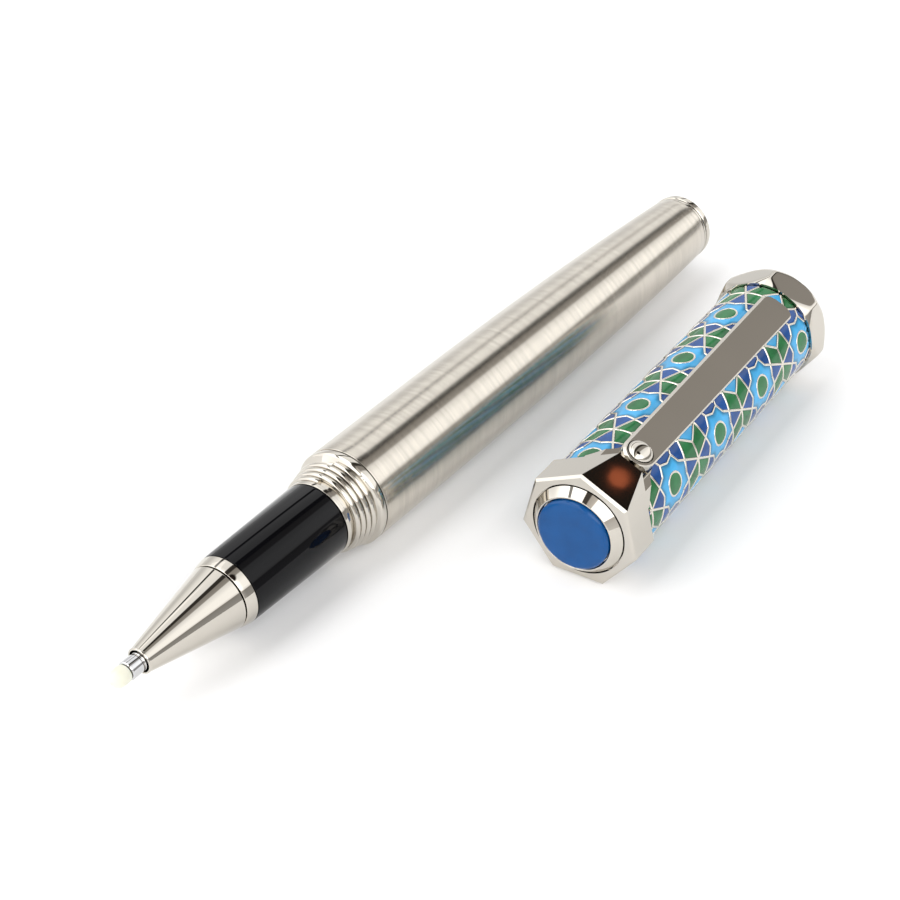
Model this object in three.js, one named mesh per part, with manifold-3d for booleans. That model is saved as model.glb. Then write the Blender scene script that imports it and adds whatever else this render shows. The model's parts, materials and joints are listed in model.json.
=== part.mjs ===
// A screw-cap rollerball pen, uncapped and lying on a table, with its seven-sided cap beside it.
// Units are millimetres, +Z is up and the table is the plane z = 0. The pen lies along X with its
// nose towards -X. Lengths along the pen are counted from the barrel's mouth, and lengths along
// the cap from its closed front face.

import * as THREE from "three";
import { mergeVertices } from "three/addons/utils/BufferGeometryUtils.js";
import { ConvexGeometry } from "three/addons/geometries/ConvexGeometry.js";
import Module from "manifold-3d";

const wasm = await Module();
wasm.setup();

// ---------------------------------------------------------------- driving dimensions

const SIDES = 28; // facets round a turned piece of the pen or the cap
const FINE_SIDES = 16; // facets round the pieces of the writing tip
const GAP = 0.15; // clearance between neighbours that meet or slide
const PLAY = 0.1; // radial clearance of one tube inside another
const OVERCUT = 1; // how far a cutting solid outruns what it cuts

// refill
const REFILL_RADIUS = 2.95;
const REFILL_WALL = 0.4;
const REFILL_NOSE_LENGTH = 4;
const REFILL_NOSE_WALL = 0.63;
const REFILL_COLLAR = 1; // flange of the nose and of the plug, outside the tube
const REFILL_SPIGOT = 5; // how far the nose and the plug reach into the tube
const REFILL_PLUG_STEP = 0.4; // chamfer of the plug's back edge
const RESERVOIR_SET_BACK = 9; // plug's back to the fibre's end
const RESERVOIR_GAP = 0.3; // nose spigot to the fibre
const REFILL_FLOAT = 0.8; // free travel of the refill towards its spring
const TIP_TUBE_RADIUS = 1.165;
const TIP_TUBE_LENGTH = 10.6;
const TIP_TUBE_SHOWING = 2.05; // bare tube in front of the nose opening
const TIP_CONE_LENGTH = 1.15;
const TIP_CONE_FLARE = 0.25; // how far the writing cone widens to the tube
const TIP_CHAMFER = 0.12;
const BALL_RADIUS = 0.35;
const BALL_SOCKET_WALL = 0.15;
const BALL_PLAY = 0.06; // ball to its socket
const BALL_SHOWING = 0.27; // how far the ball stands out of its socket
const INK_HOLE_RADIUS = 0.2;
const INK_CHANNEL_FLARE = 1; // ball's middle to where the tip's ink channel is its full width
const INK_BORE_STEP = 0.5; // tip tube's bore to the narrower ink bore in the refill's nose
const WAX_RADIUS = 1.09;
const WAX_LENGTH = 2.15;
const WAX_EDGE = 0.12; // wax left in front of the ball, and its rounded back edge
const WAX_NOTCH_RADIUS = 0.3;
const WAX_BACK_LENGTH = 0.2; // the wax's rounded back edge
const WAX_SWELL = 0.02;

// section: the front of the pen
const SECTION_LENGTH = 36.4; // barrel mouth to the nose opening
const NOSE_LIP = 0.25; // metal round the nose opening
const NOSE_LENGTH = 13.1;
const NOSE_SPIGOT_LENGTH = 4;
const NOSE_SPIGOT_WALL = 0.4;
const NOSE_POCKET_LIP = 0.25; // end of the nose's pocket to the front of the refill's tube
const CORE_WALL = 0.35;
const BAND_LENGTH = 1.6;
const BAND_FLARE = 0.34; // how far the band widens from the nose to the grip
const GRIP_FRONT_WALL = 0.43;
const GRIP_BACK_WALL = 0.75;
const COLLAR_LENGTH = 5.6;
const COLLAR_FRONT_RING = 0.9; // smooth ring in front of the cap thread
const COLLAR_FLANGE = 1.3; // length of the smooth ring behind the cap thread
const FINE_STEP = 0.03; // step between neighbours that look flush
const CAP_THREAD_RIDGES = 4;
const CAP_THREAD_CREST = 0.35; // length of a ridge's flank and of its crest, as shares of its pitch
const CAP_THREAD_STEP = 0.4; // first ridge's crest over the grip
const CAP_THREAD_GROWTH = 0.65; // last ridge's crest over the first
const CAP_THREAD_DEPTH = 0.42;
const BARREL_THREAD_DEPTH = 0.35;
const BARREL_THREAD_PITCH = 0.75;
const BARREL_THREAD_TURNS = 6;
const BARREL_THREAD_LEAD = 0.3; // plain collar in front of the barrel thread
const O_RING_THICKNESS = 0.65;
const O_RING_SET_BACK = 0.25;

// barrel
const BARREL_LENGTH = 78.3;
const BARREL_WALL = 0.75;
const BARREL_STRAIGHT = 12; // length behind the mouth that doesn't taper
const BARREL_TAPER = 1.56; // radius lost between there and the tail
const BARREL_TAPER_POWER = 2.35;
const INSERT_SET_BACK = 1.6;
const INSERT_LENGTH = 7.5;
const INSERT_WALL = 1;
const CORE_SET_BACK = 1; // end of the section's core to the end of the insert
const TAIL_RING_LENGTH = 0.35;
const TAIL_RING_STEP = 0.12; // depth of the tail ring below its neighbours
const TAIL_CAP_LENGTH = 1.1;
const TAIL_DOME = 0.75;
const TAIL_EDGE = 0.3; // rounding of the tail cap's edge
const TAIL_STEM_RADIUS = 1.3;
const SPRING_WIRE = 0.5;
const SPRING_RADIUS = 2.2;
const SPRING_TURNS = 4;
const SPRING_SPACE = 5.1;
const SEAT_LENGTH = 3;

// cap
const CAP_SIDES = 7;
const CAP_LENGTH = 54.2;
const CAP_THREAD_CLEARANCE = 0.2; // cap's bore over the collar's last ridge
const LINER_WALL = 0.3;
const TUBE_SKIN = 0.4;
const CROWN_STEP = 0.07; // crown's flats over the enamel tube
const CROWN_LENGTH = 4.7;
const CROWN_CHAMFER = 0.3;
const CROWN_WING = 0.78; // half width of the sweep's start, as a share of the crown's flats
const SWEEP_BEND_BACK = 1.2; // the curve beside the clip's root: where it bends
const SWEEP_BEND_OUT = 3.4;
const CROWN_FLOOR = 1.9; // thickness of the crown's wall behind its setting
const RAMP_OVERRUN = 0.05; // how far the ramp to the clip runs past the crown's back
const TONGUE_LENGTH = 3; // crown's sweep back beside the clip's root
const TONGUE_ROOT = 1; // crown's face to where the sweep starts inside it
const TONGUE_FLARE = 0.5; // sweep over the shelf's half width, where they meet
const SHELF_LENGTH = 1.5; // plate below the clip's root, behind that
const SHELF_HALF_WIDTH = 1.85;
const BEZEL_RIM = 1.02; // flat of the crown's face outside the bezel
const BEZEL_TAPER = 0.9;
const BEZEL_HEIGHT = 1.15;
const BEZEL_DEPTH = 1.2;
const BEZEL_EDGE = 0.12; // flat rim round the stone
const STONE_RIM = 0.35; // bezel metal round the stone
const STONE_DEPTH = 0.4;
const STONE_DOME = 0.3;
const STONE_EDGE = 0.15; // straight edge of the stone over its bezel
const LIP_STEP = 0.33; // lip ring's flats over the enamel tube
const LIP_LENGTH = 4.2;
const LIP_CHAMFER = 1.3;
const LIP_FACE_STEP = 0.05; // circle that the lip's faces are chamfered to, over its flats
const MOUTH_FLARE = 0.5; // chamfer inside the cap's mouth
const INNER_CUP_START = 9.5;
const INNER_CUP_LENGTH = 11;
const INNER_CUP_WALL = 0.6;
const INNER_CUP_FLOOR = 1;
const SCREW_RADIUS = 1.2;
const SCREW_HEAD_RADIUS = 2.3;
const SCREW_HEAD_HEIGHT = 1.2;
const SCREW_HEAD_EDGE = 0.3;
const LINER_FLOOR = 0.8;

// clip
const CLIP_RISE = 2.1; // clip's top over the enamel tube, at the root
const CLIP_FALL = 0.5; // how much lower its top is at the tip
const CLIP_THICKNESS = 0.95;
const CLIP_ROOT_WIDTH = 3.6;
const CLIP_NECK_WIDTH = 3.9;
const CLIP_TIP_WIDTH = 4.6;
const CLIP_END_ROUNDING = 1.3;
const CLIP_END_GAP = 3.6; // clip's tip to the lip ring
const CLIP_LEVEL = 1; // how far past its root the clip's top stays level
const CLIP_PAD_LENGTH = 3;
const CLIP_EDGE = 0.3; // easing of the clip's top edge at its tip
const CLIP_PAD_RUN = 1.5; // length over which the clip's underside turns down to its pad
const STUD_SET_BACK = 2.25; // clip's front end to the middle of the domed stud
const STUD_RADIUS = 1.45;
const STUD_DOME = 0.8;
const STUD_SHANK_RADIUS = 0.6;
const STUD_HOLE_LENGTH = 4; // cuts right through the shelf and through the clip
const STUD_SINK = 0.1; // edge of the stud's dome below the clip's top

// how the two halves lie
const CAP_BEHIND = 9.7; // barrel's mouth to the cap's front face, along the pen
const CAP_ASIDE = 26.6; // pen's axis to the middle of the cap's front face
const CAP_YAW = THREE.MathUtils.degToRad(3.3);

// ---------------------------------------------------------------- finishes

const finish = (color, roughness, metalness) =>
  new THREE.MeshStandardMaterial({ color, roughness, metalness });
const POLISHED = finish(0xd8d3c8, 0.08, 1);
const BRUSHED = finish(0xc4bdb0, 0.32, 1);
const BRASS = finish(0xc9a45c, 0.3, 1);
const STEEL = finish(0xb9bcc0, 0.25, 1);
const BLACK = finish(0x121316, 0.12, 0);
const RUBBER = finish(0x1b1b1b, 0.8, 0);
const PLASTIC = finish(0x2c2e33, 0.45, 0);
const FIBRE = finish(0x1d2a5c, 0.9, 0);
const WAX = finish(0xe4e2c4, 0.55, 0);
const ENAMEL = finish(0x4fb0e2, 0.15, 0);
const STONE = finish(0x1c62b0, 0.1, 0);

// ---------------------------------------------------------------- making solids

// A piece turned about X from points [x, radius], listed backwards along the outside and
// forwards along the bore. A profile that doesn't touch the axis closes on itself.
function turned(points, sides = SIDES, start = Math.PI / sides) {
  const profile = points.map(([x, radius]) => new THREE.Vector2(radius, x));
  const solid = points[0][1] === 0;
  if (!solid) profile.push(profile[0].clone());
  return new THREE.LatheGeometry(profile, sides, start).rotateZ(-Math.PI / 2);
}

// A plain tube between two places along the axis.
function tube(from, to, outer, inner, sides = SIDES) {
  return turned([[from, outer], [to, outer], [to, inner], [from, inner]], sides);
}

// Points of a dome that starts at radius on x and ends on the axis at x + height.
function dome(x, radius, height, steps = 4) {
  return Array.from({ length: steps }, (_, i) => {
    const angle = ((i + 1) / steps) * (Math.PI / 2);
    const last = i === steps - 1;
    return [x + height * Math.sin(angle), last ? 0 : radius * Math.cos(angle)];
  });
}

// Swaps a profile end for end along the axis, about the plane x = middle.
const mirrored = (points, middle) => points.map(([x, r]) => [2 * middle - x, r]).reverse();

function toSolid(geometry) {
  const bare = geometry.index ? geometry.toNonIndexed() : geometry.clone();
  for (const name of Object.keys(bare.attributes)) {
    if (name !== "position") bare.deleteAttribute(name);
  }
  const merged = mergeVertices(bare, 1e-4);
  const mesh = new wasm.Mesh({
    numProp: 3,
    vertProperties: new Float32Array(merged.attributes.position.array),
    triVerts: new Uint32Array(merged.index.array),
  });
  return new wasm.Manifold(mesh);
}

function toGeometry(solid) {
  const mesh = solid.getMesh();
  const geometry = new THREE.BufferGeometry();
  geometry.setAttribute("position", new THREE.BufferAttribute(mesh.vertProperties, 3));
  geometry.setIndex(new THREE.BufferAttribute(mesh.triVerts, 1));
  return geometry;
}

function extruded(outline, depth) {
  return new THREE.ExtrudeGeometry(outline, { depth, bevelEnabled: false, curveSegments: 5 });
}

// An outline in the X-Z plane, as thick as width across Y and centred on it.
function sideCut(outline, width) {
  return extruded(outline, width).rotateX(Math.PI / 2).translate(0, width / 2, 0);
}

// An outline in the X-Y plane, standing from low to high.
function planCut(outline, low, high) {
  return extruded(outline, high - low).translate(0, 0, low);
}

function named(name, geometry, material) {
  const mesh = new THREE.Mesh(geometry, material);
  mesh.name = name;
  return mesh;
}

const facetHeight = (radius, sides = SIDES) => radius * Math.cos(Math.PI / sides);
const cornerRadius = (inradius) => inradius / Math.cos(Math.PI / CAP_SIDES);

// ---------------------------------------------------------------- places along the pen

const refillBore = REFILL_RADIUS + GAP;
const spigotRadius = refillBore + NOSE_SPIGOT_WALL;
const socketRadius = spigotRadius + PLAY;
const coreRadius = socketRadius + CORE_WALL;
const sleeveBore = coreRadius + PLAY;
const gripFrontRadius = sleeveBore + GRIP_FRONT_WALL;
const gripBackRadius = sleeveBore + GRIP_BACK_WALL;
const noseBackRadius = gripFrontRadius - BAND_FLARE;
const noseBore = TIP_TUBE_RADIUS + PLAY;
const refillNoseRadius = TIP_TUBE_RADIUS + REFILL_NOSE_WALL;
const capThreadCrest = gripBackRadius + CAP_THREAD_STEP + CAP_THREAD_GROWTH;
const barrelThreadCrest = coreRadius + BARREL_THREAD_DEPTH;
const insertBore = barrelThreadCrest + GAP;
const insertRadius = insertBore + INSERT_WALL;
const barrelRadius = insertRadius + PLAY + BARREL_WALL;
const barrelEndRadius = barrelRadius - BARREL_TAPER;

const noseTip = -SECTION_LENGTH;
const noseBack = noseTip + NOSE_LENGTH;
const spigotBack = noseBack + NOSE_SPIGOT_LENGTH;
const bandFront = noseBack + GAP;
const bandBack = noseBack + BAND_LENGTH;
const gripFront = bandBack + GAP;
const collarFront = -COLLAR_LENGTH;
const gripBack = collarFront - GAP;
const barrelMouth = GAP;
const insertFront = barrelMouth + INSERT_SET_BACK;
const coreBack = insertFront + INSERT_LENGTH - CORE_SET_BACK;

const tipTubeFront = noseTip - TIP_TUBE_SHOWING;
const ballCentre = tipTubeFront - TIP_CONE_LENGTH;
const tipSeatRadius = BALL_RADIUS + BALL_SOCKET_WALL;
const tipConeRadius = tipSeatRadius + TIP_CONE_FLARE;
const shoulder = tipTubeFront + TIP_TUBE_LENGTH - GAP; // the refill's nose stops here
const refillFront = shoulder + REFILL_NOSE_LENGTH;
const refillSpigot = REFILL_RADIUS - REFILL_WALL - PLAY;
const seatFront = BARREL_LENGTH - SEAT_LENGTH;
const refillBack = seatFront - SPRING_SPACE;
const tailRingFront = BARREL_LENGTH + GAP;
const tailRingBack = tailRingFront + TAIL_RING_LENGTH;
const tailCapFront = tailRingBack + GAP;

// Outside radius of the barrel at a place along it: straight first, then a quickening taper.
function barrelRadiusAt(x) {
  const along = Math.max(0, x - BARREL_STRAIGHT) / (BARREL_LENGTH - BARREL_STRAIGHT);
  return barrelRadius - BARREL_TAPER * along ** BARREL_TAPER_POWER;
}

// ---------------------------------------------------------------- refill and writing tip

function writingBall() {
  const ball = new THREE.SphereGeometry(BALL_RADIUS, FINE_SIDES, 8);
  return named("writing_ball", ball.translate(ballCentre, 0, 0), STEEL);
}

function refillTip() {
  const socket = BALL_RADIUS + BALL_PLAY;
  const mouth = ballCentre - BALL_RADIUS + BALL_SHOWING;
  const plugBack = refillFront - REFILL_COLLAR;
  return named("refill_tip", turned([
    [mouth, tipSeatRadius],
    [tipTubeFront, tipConeRadius],
    [tipTubeFront, TIP_TUBE_RADIUS - TIP_CHAMFER],
    [tipTubeFront + TIP_CHAMFER, TIP_TUBE_RADIUS],
    [plugBack, TIP_TUBE_RADIUS],
    [plugBack, tipSeatRadius],
    [ballCentre + INK_CHANNEL_FLARE, BALL_RADIUS],
    [ballCentre + socket, INK_HOLE_RADIUS],
    [ballCentre + socket * Math.SQRT1_2, socket],
    [mouth, socket],
  ], FINE_SIDES), STEEL);
}

function tipWax() {
  const back = tipTubeFront - PLAY;
  const front = back - WAX_LENGTH;
  const belly = WAX_LENGTH - WAX_RADIUS;
  const outside = mirrored([
    [0, WAX_RADIUS - WAX_EDGE],
    [WAX_BACK_LENGTH, WAX_RADIUS - WAX_SWELL],
    [belly, WAX_RADIUS],
    ...dome(belly, WAX_RADIUS, WAX_RADIUS, 5),
  ], 0).map(([x, r]) => [x + back, r]);
  const notch = Math.max(ballCentre - BALL_RADIUS - WAX_EDGE, front + WAX_EDGE);
  return named("tip_wax", turned([
    ...outside,
    [back, tipConeRadius + PLAY],
    [ballCentre - PLAY, tipSeatRadius + PLAY],
    [notch, WAX_NOTCH_RADIUS],
    [notch, 0],
  ], FINE_SIDES), WAX);
}

function refillNose() {
  const bore = TIP_TUBE_RADIUS + PLAY;
  const inkBore = bore - INK_BORE_STEP;
  const stop = refillFront - REFILL_COLLAR + PLAY; // where the tip tube stops
  const collarFront = refillFront - PLAY;
  const collarBack = collarFront + REFILL_COLLAR;
  return named("refill_nose", turned([
    [shoulder + GAP, refillNoseRadius],
    [collarFront, refillNoseRadius],
    [collarFront, REFILL_RADIUS],
    [collarBack, REFILL_RADIUS],
    [collarBack, refillSpigot],
    [refillFront + REFILL_SPIGOT, refillSpigot],
    [refillFront + REFILL_SPIGOT, inkBore],
    [stop, inkBore],
    [stop, bore],
    [shoulder + GAP, bore],
  ]), PLASTIC);
}

function refillTube() {
  const front = refillFront - PLAY + REFILL_COLLAR + GAP;
  const back = refillBack - REFILL_COLLAR - GAP;
  return named("refill_tube", tube(front, back, REFILL_RADIUS, REFILL_RADIUS - REFILL_WALL), STEEL);
}

function inkReservoir() {
  const front = refillFront + REFILL_SPIGOT + RESERVOIR_GAP;
  const back = refillBack - RESERVOIR_SET_BACK;
  const radius = refillSpigot - PLAY;
  return named("ink_reservoir", turned([[front, 0], [front, radius], [back, radius], [back, 0]]), FIBRE);
}

function refillPlug() {
  const collar = refillBack - REFILL_COLLAR;
  return named("refill_plug", turned([
    [collar - REFILL_SPIGOT, 0],
    [collar - REFILL_SPIGOT, refillSpigot],
    [collar, refillSpigot],
    [collar, REFILL_RADIUS],
    [refillBack - REFILL_PLUG_STEP, REFILL_RADIUS],
    [refillBack, REFILL_RADIUS - REFILL_PLUG_STEP],
    [refillBack, 0],
  ]), PLASTIC);
}

// ---------------------------------------------------------------- section

function noseCone() {
  const nosePocket = refillNoseRadius + GAP;
  return named("nose_cone", turned([
    [noseTip, noseBore + NOSE_LIP / 3],
    [noseTip + NOSE_LIP / 2, noseBore + NOSE_LIP],
    [noseBack, noseBackRadius],
    [noseBack, spigotRadius],
    [spigotBack, spigotRadius],
    [spigotBack, refillBore],
    [refillFront - NOSE_POCKET_LIP, refillBore],
    [refillFront - NOSE_POCKET_LIP, nosePocket],
    [shoulder, nosePocket],
    [shoulder, noseBore],
    [noseTip + NOSE_LIP / 2, noseBore],
  ]), POLISHED);
}

function noseBand() {
  return named("nose_band", turned([
    [bandFront, noseBackRadius + FINE_STEP],
    [bandBack, gripFrontRadius + FINE_STEP],
    [bandBack, socketRadius],
    [bandFront, socketRadius],
  ]), POLISHED);
}

function gripCore() {
  const threadFront = insertFront + BARREL_THREAD_LEAD;
  const ridges = [];
  for (let turn = 0; turn < BARREL_THREAD_TURNS; turn++) {
    const x = threadFront + turn * BARREL_THREAD_PITCH;
    ridges.push([x, coreRadius]);
    ridges.push([x + BARREL_THREAD_PITCH / 2, barrelThreadCrest]);
  }
  return named("grip_core", turned([
    [gripFront, coreRadius],
    ...ridges,
    [threadFront + BARREL_THREAD_TURNS * BARREL_THREAD_PITCH, coreRadius],
    [coreBack, coreRadius],
    [coreBack, refillBore],
    [spigotBack + GAP, refillBore],
    [spigotBack + GAP, socketRadius],
    [gripFront, socketRadius],
  ]), BRASS);
}

function gripSleeve() {
  return named("grip_sleeve", turned([
    [gripFront, gripFrontRadius],
    [gripBack, gripBackRadius],
    [gripBack, sleeveBore],
    [gripFront, sleeveBore],
  ]), BLACK);
}

function threadCollar() {
  const threadFront = collarFront + COLLAR_FRONT_RING;
  const threadBack = -COLLAR_FLANGE;
  const pitch = (threadBack - threadFront) / CAP_THREAD_RIDGES;
  const growth = CAP_THREAD_GROWTH / (CAP_THREAD_RIDGES - 1);
  const ridges = [];
  for (let ridge = 0; ridge < CAP_THREAD_RIDGES; ridge++) {
    const crest = gripBackRadius + CAP_THREAD_STEP + ridge * growth;
    const x = threadFront + ridge * pitch;
    ridges.push([x, crest - CAP_THREAD_DEPTH]);
    ridges.push([x + pitch * CAP_THREAD_CREST, crest]);
    ridges.push([x + 2 * pitch * CAP_THREAD_CREST, crest]);
  }
  return named("thread_collar", turned([
    [collarFront, gripBackRadius + FINE_STEP],
    ...ridges,
    [threadBack, capThreadCrest - CAP_THREAD_DEPTH / 2],
    [threadBack + COLLAR_FLANGE / 4, barrelRadius - PLAY],
    [threadBack + COLLAR_FLANGE / 2, barrelRadius],
    [0, barrelRadius],
    [0, sleeveBore],
    [collarFront, sleeveBore],
  ]), POLISHED);
}

function sectionORing() {
  const middle = barrelMouth + O_RING_SET_BACK + O_RING_THICKNESS / 2;
  const radius = sleeveBore + O_RING_THICKNESS / 2;
  const section = Array.from({ length: 6 }, (_, i) => {
    const angle = (-i / 6) * 2 * Math.PI;
    return [middle - (O_RING_THICKNESS / 2) * Math.cos(angle),
      radius - (O_RING_THICKNESS / 2) * Math.sin(angle)];
  });
  return named("section_o_ring", turned(section), RUBBER);
}

// ---------------------------------------------------------------- barrel

function barrelShell() {
  const steps = 8;
  const outside = [[barrelMouth, barrelRadius]];
  const inside = [[barrelMouth, barrelRadius - BARREL_WALL]];
  for (let i = 0; i <= steps; i++) {
    const x = BARREL_STRAIGHT + (BARREL_LENGTH - BARREL_STRAIGHT) * Math.sqrt(i / steps);
    outside.push([x, barrelRadiusAt(x)]);
    if (i % 2 === 0) inside.push([x, barrelRadiusAt(x) - BARREL_WALL]);
  }
  return named("barrel_shell", turned([...outside, ...inside.reverse()]), BRUSHED);
}

function barrelInsert() {
  return named("barrel_insert",
    tube(insertFront, insertFront + INSERT_LENGTH, insertRadius, insertBore), BRASS);
}

function springSeat() {
  const outer = barrelEndRadius - BARREL_WALL - 2 * PLAY;
  const bore = TAIL_STEM_RADIUS + PLAY;
  return named("spring_seat", tube(seatFront, BARREL_LENGTH - GAP, outer, bore), BRASS);
}

class Helix extends THREE.Curve {
  constructor(from, to, radius, turns) {
    super();
    Object.assign(this, { from, to, radius, turns });
  }

  getPoint(t, target = new THREE.Vector3()) {
    const angle = t * this.turns * 2 * Math.PI;
    return target.set(
      this.from + (this.to - this.from) * t,
      this.radius * Math.cos(angle),
      this.radius * Math.sin(angle),
    );
  }
}

function refillSpring() {
  const wire = SPRING_WIRE / 2;
  const front = refillBack + REFILL_FLOAT + GAP;
  const path = new Helix(front + wire, seatFront - GAP - wire, SPRING_RADIUS, SPRING_TURNS);
  const section = new THREE.Shape().absarc(0, 0, wire, 0, 2 * Math.PI);
  const geometry = new THREE.ExtrudeGeometry(section, {
    steps: SPRING_TURNS * 14, extrudePath: path, curveSegments: 6, bevelEnabled: false,
  });
  return named("refill_spring", geometry, STEEL);
}

function tailRing() {
  const radius = barrelEndRadius - TAIL_RING_STEP;
  return named("tail_ring",
    tube(tailRingFront, tailRingBack, radius, TAIL_STEM_RADIUS + PLAY), POLISHED);
}

function tailCap() {
  const edge = tailCapFront + TAIL_CAP_LENGTH;
  return named("tail_cap", turned([
    [seatFront + TAIL_EDGE, 0],
    [seatFront + TAIL_EDGE, TAIL_STEM_RADIUS],
    [tailCapFront, TAIL_STEM_RADIUS],
    [tailCapFront, barrelEndRadius - TAIL_RING_STEP],
    [tailCapFront + TAIL_RING_STEP, barrelEndRadius],
    [edge - TAIL_EDGE, barrelEndRadius - FINE_STEP],
    [edge, barrelEndRadius - TAIL_EDGE],
    ...dome(edge, barrelEndRadius - TAIL_EDGE, TAIL_DOME, 3),
  ]), POLISHED);
}

// ---------------------------------------------------------------- cap
// The cap is built with its axis along X and the clip on the +Z side.

const linerBore = capThreadCrest + CAP_THREAD_CLEARANCE;
const linerRadius = linerBore + LINER_WALL;
const tubeBore = linerRadius + PLAY;
const tubeRadius = tubeBore + TUBE_SKIN;
const tubeClearance = tubeRadius + GAP;
const crownInradius = tubeRadius + CROWN_STEP;
const lipInradius = tubeRadius + LIP_STEP;
const bezelRadius = crownInradius - BEZEL_RIM;
const bezelFaceRadius = bezelRadius - BEZEL_TAPER;
const stoneRadius = bezelFaceRadius - STONE_RIM;

const linerFront = BEZEL_DEPTH + CROWN_FLOOR + GAP;
const tubeFront = CROWN_LENGTH + GAP;
const lipFront = CAP_LENGTH - LIP_LENGTH;
const tubeBack = lipFront - GAP;
const rampEnd = CROWN_LENGTH + RAMP_OVERRUN;
const tongueEnd = CROWN_LENGTH + TONGUE_LENGTH;
const shelfEnd = tongueEnd + SHELF_LENGTH;
const clipFront = rampEnd + 2 * GAP;
const studAt = clipFront + STUD_SET_BACK;
const clipEnd = lipFront - CLIP_END_GAP;
const clipTop = tubeRadius + CLIP_RISE;
const clipBottom = clipTop - CLIP_THICKNESS;
const shelfTop = clipBottom - 2 * GAP;
const heptagonStart = Math.PI / CAP_SIDES;

function capCrown() {
  const corner = cornerRadius(crownInradius);
  const faceCorner = cornerRadius(crownInradius - CROWN_CHAMFER);
  const body = toSolid(turned([
    [0, 0], [0, faceCorner], [CROWN_CHAMFER, corner], [CROWN_LENGTH, corner], [CROWN_LENGTH, 0],
  ], CAP_SIDES, heptagonStart));

  // The tongue carries the crown's flats back beside the clip's root.
  const flats = toSolid(turned([
    [TONGUE_ROOT, 0], [TONGUE_ROOT, corner], [shelfEnd, corner], [shelfEnd, 0],
  ], CAP_SIDES, heptagonStart));
  const wing = crownInradius * CROWN_WING;
  const bend = CROWN_LENGTH + SWEEP_BEND_BACK;
  const side = SHELF_HALF_WIDTH + TONGUE_FLARE;
  const bottom = 2 * TONGUE_ROOT;
  const plan = new THREE.Shape();
  plan.moveTo(TONGUE_ROOT, -wing);
  plan.lineTo(CROWN_LENGTH - RAMP_OVERRUN, -wing);
  plan.quadraticCurveTo(bend, -SWEEP_BEND_OUT, tongueEnd, -side);
  plan.lineTo(shelfEnd, -SHELF_HALF_WIDTH);
  plan.lineTo(shelfEnd, SHELF_HALF_WIDTH);
  plan.lineTo(tongueEnd, side);
  plan.quadraticCurveTo(bend, SWEEP_BEND_OUT, CROWN_LENGTH - RAMP_OVERRUN, wing);
  plan.lineTo(TONGUE_ROOT, wing);
  const tongue = flats.intersect(toSolid(planCut(plan, bottom, corner + OVERCUT)));

  // The shelf below the clip's root, and the ramp that climbs to the clip's top.
  const shelf = toSolid(new THREE.BoxGeometry(
    shelfEnd - TONGUE_ROOT, 2 * SHELF_HALF_WIDTH, shelfTop - bottom,
  ).translate((shelfEnd + TONGUE_ROOT) / 2, 0, (shelfTop + bottom) / 2));
  const slant = (2 * Math.PI) / CAP_SIDES;
  const halfWidth = (height) => (crownInradius - height * Math.cos(slant)) / Math.sin(slant);
  const rampPoints = [];
  const rampFoot = bezelRadius + FINE_STEP;
  for (const hand of [-1, 1]) {
    for (const [x, z] of [[CROWN_CHAMFER, crownInradius], [rampEnd, clipTop],
      [rampEnd, crownInradius], [CROWN_CHAMFER, rampFoot], [rampEnd, rampFoot]]) {
      rampPoints.push(new THREE.Vector3(x, hand * (halfWidth(z) - FINE_STEP), z));
    }
  }
  const ramp = toSolid(new ConvexGeometry(rampPoints));

  const setting = toSolid(turned([
    [-OVERCUT, 0], [-OVERCUT, bezelRadius + GAP],
    [BEZEL_DEPTH, bezelRadius + GAP], [BEZEL_DEPTH, 0],
  ]));
  const socket = toSolid(turned([
    [linerFront - GAP, 0], [linerFront - GAP, linerRadius + GAP],
    [CROWN_LENGTH, linerRadius + GAP], [CROWN_LENGTH, tubeClearance],
    [shelfEnd + OVERCUT, tubeClearance], [shelfEnd + OVERCUT, 0],
  ]));
  const screwHole = toSolid(turned([
    [0, 0], [0, SCREW_RADIUS + GAP], [linerFront, SCREW_RADIUS + GAP], [linerFront, 0],
  ]));
  const studHole = toSolid(
    new THREE.CylinderGeometry(STUD_SHANK_RADIUS + GAP, STUD_SHANK_RADIUS + GAP, STUD_HOLE_LENGTH, 12)
      .rotateX(Math.PI / 2).translate(studAt, 0, shelfTop),
  );
  const solid = body.add(tongue).add(shelf).add(ramp)
    .subtract(setting).subtract(socket).subtract(screwHole).subtract(studHole);
  return named("cap_crown", toGeometry(solid), POLISHED);
}

function crownBezel() {
  const face = -BEZEL_HEIGHT;
  return named("crown_bezel", turned([
    [-STONE_DEPTH + GAP, 0],
    [-STONE_DEPTH + GAP, stoneRadius + PLAY],
    [face + PLAY, stoneRadius + PLAY],
    [face, bezelFaceRadius - BEZEL_EDGE],
    [face + FINE_STEP, bezelFaceRadius],
    [-FINE_STEP, bezelRadius],
    [BEZEL_DEPTH - GAP, bezelRadius],
    [BEZEL_DEPTH - GAP, 0],
  ]), POLISHED);
}

function crownStone() {
  const rim = -BEZEL_HEIGHT - FINE_STEP;
  const shoulderRadius = stoneRadius - PLAY;
  const outside = mirrored([
    [0, stoneRadius],
    [STONE_EDGE, shoulderRadius],
    ...dome(STONE_EDGE, shoulderRadius, STONE_DOME, 4),
  ], 0).map(([x, r]) => [x + rim, r]);
  return named("crown_stone", turned([
    ...outside, [-STONE_DEPTH, stoneRadius], [-STONE_DEPTH, 0],
  ]), STONE);
}

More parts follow.
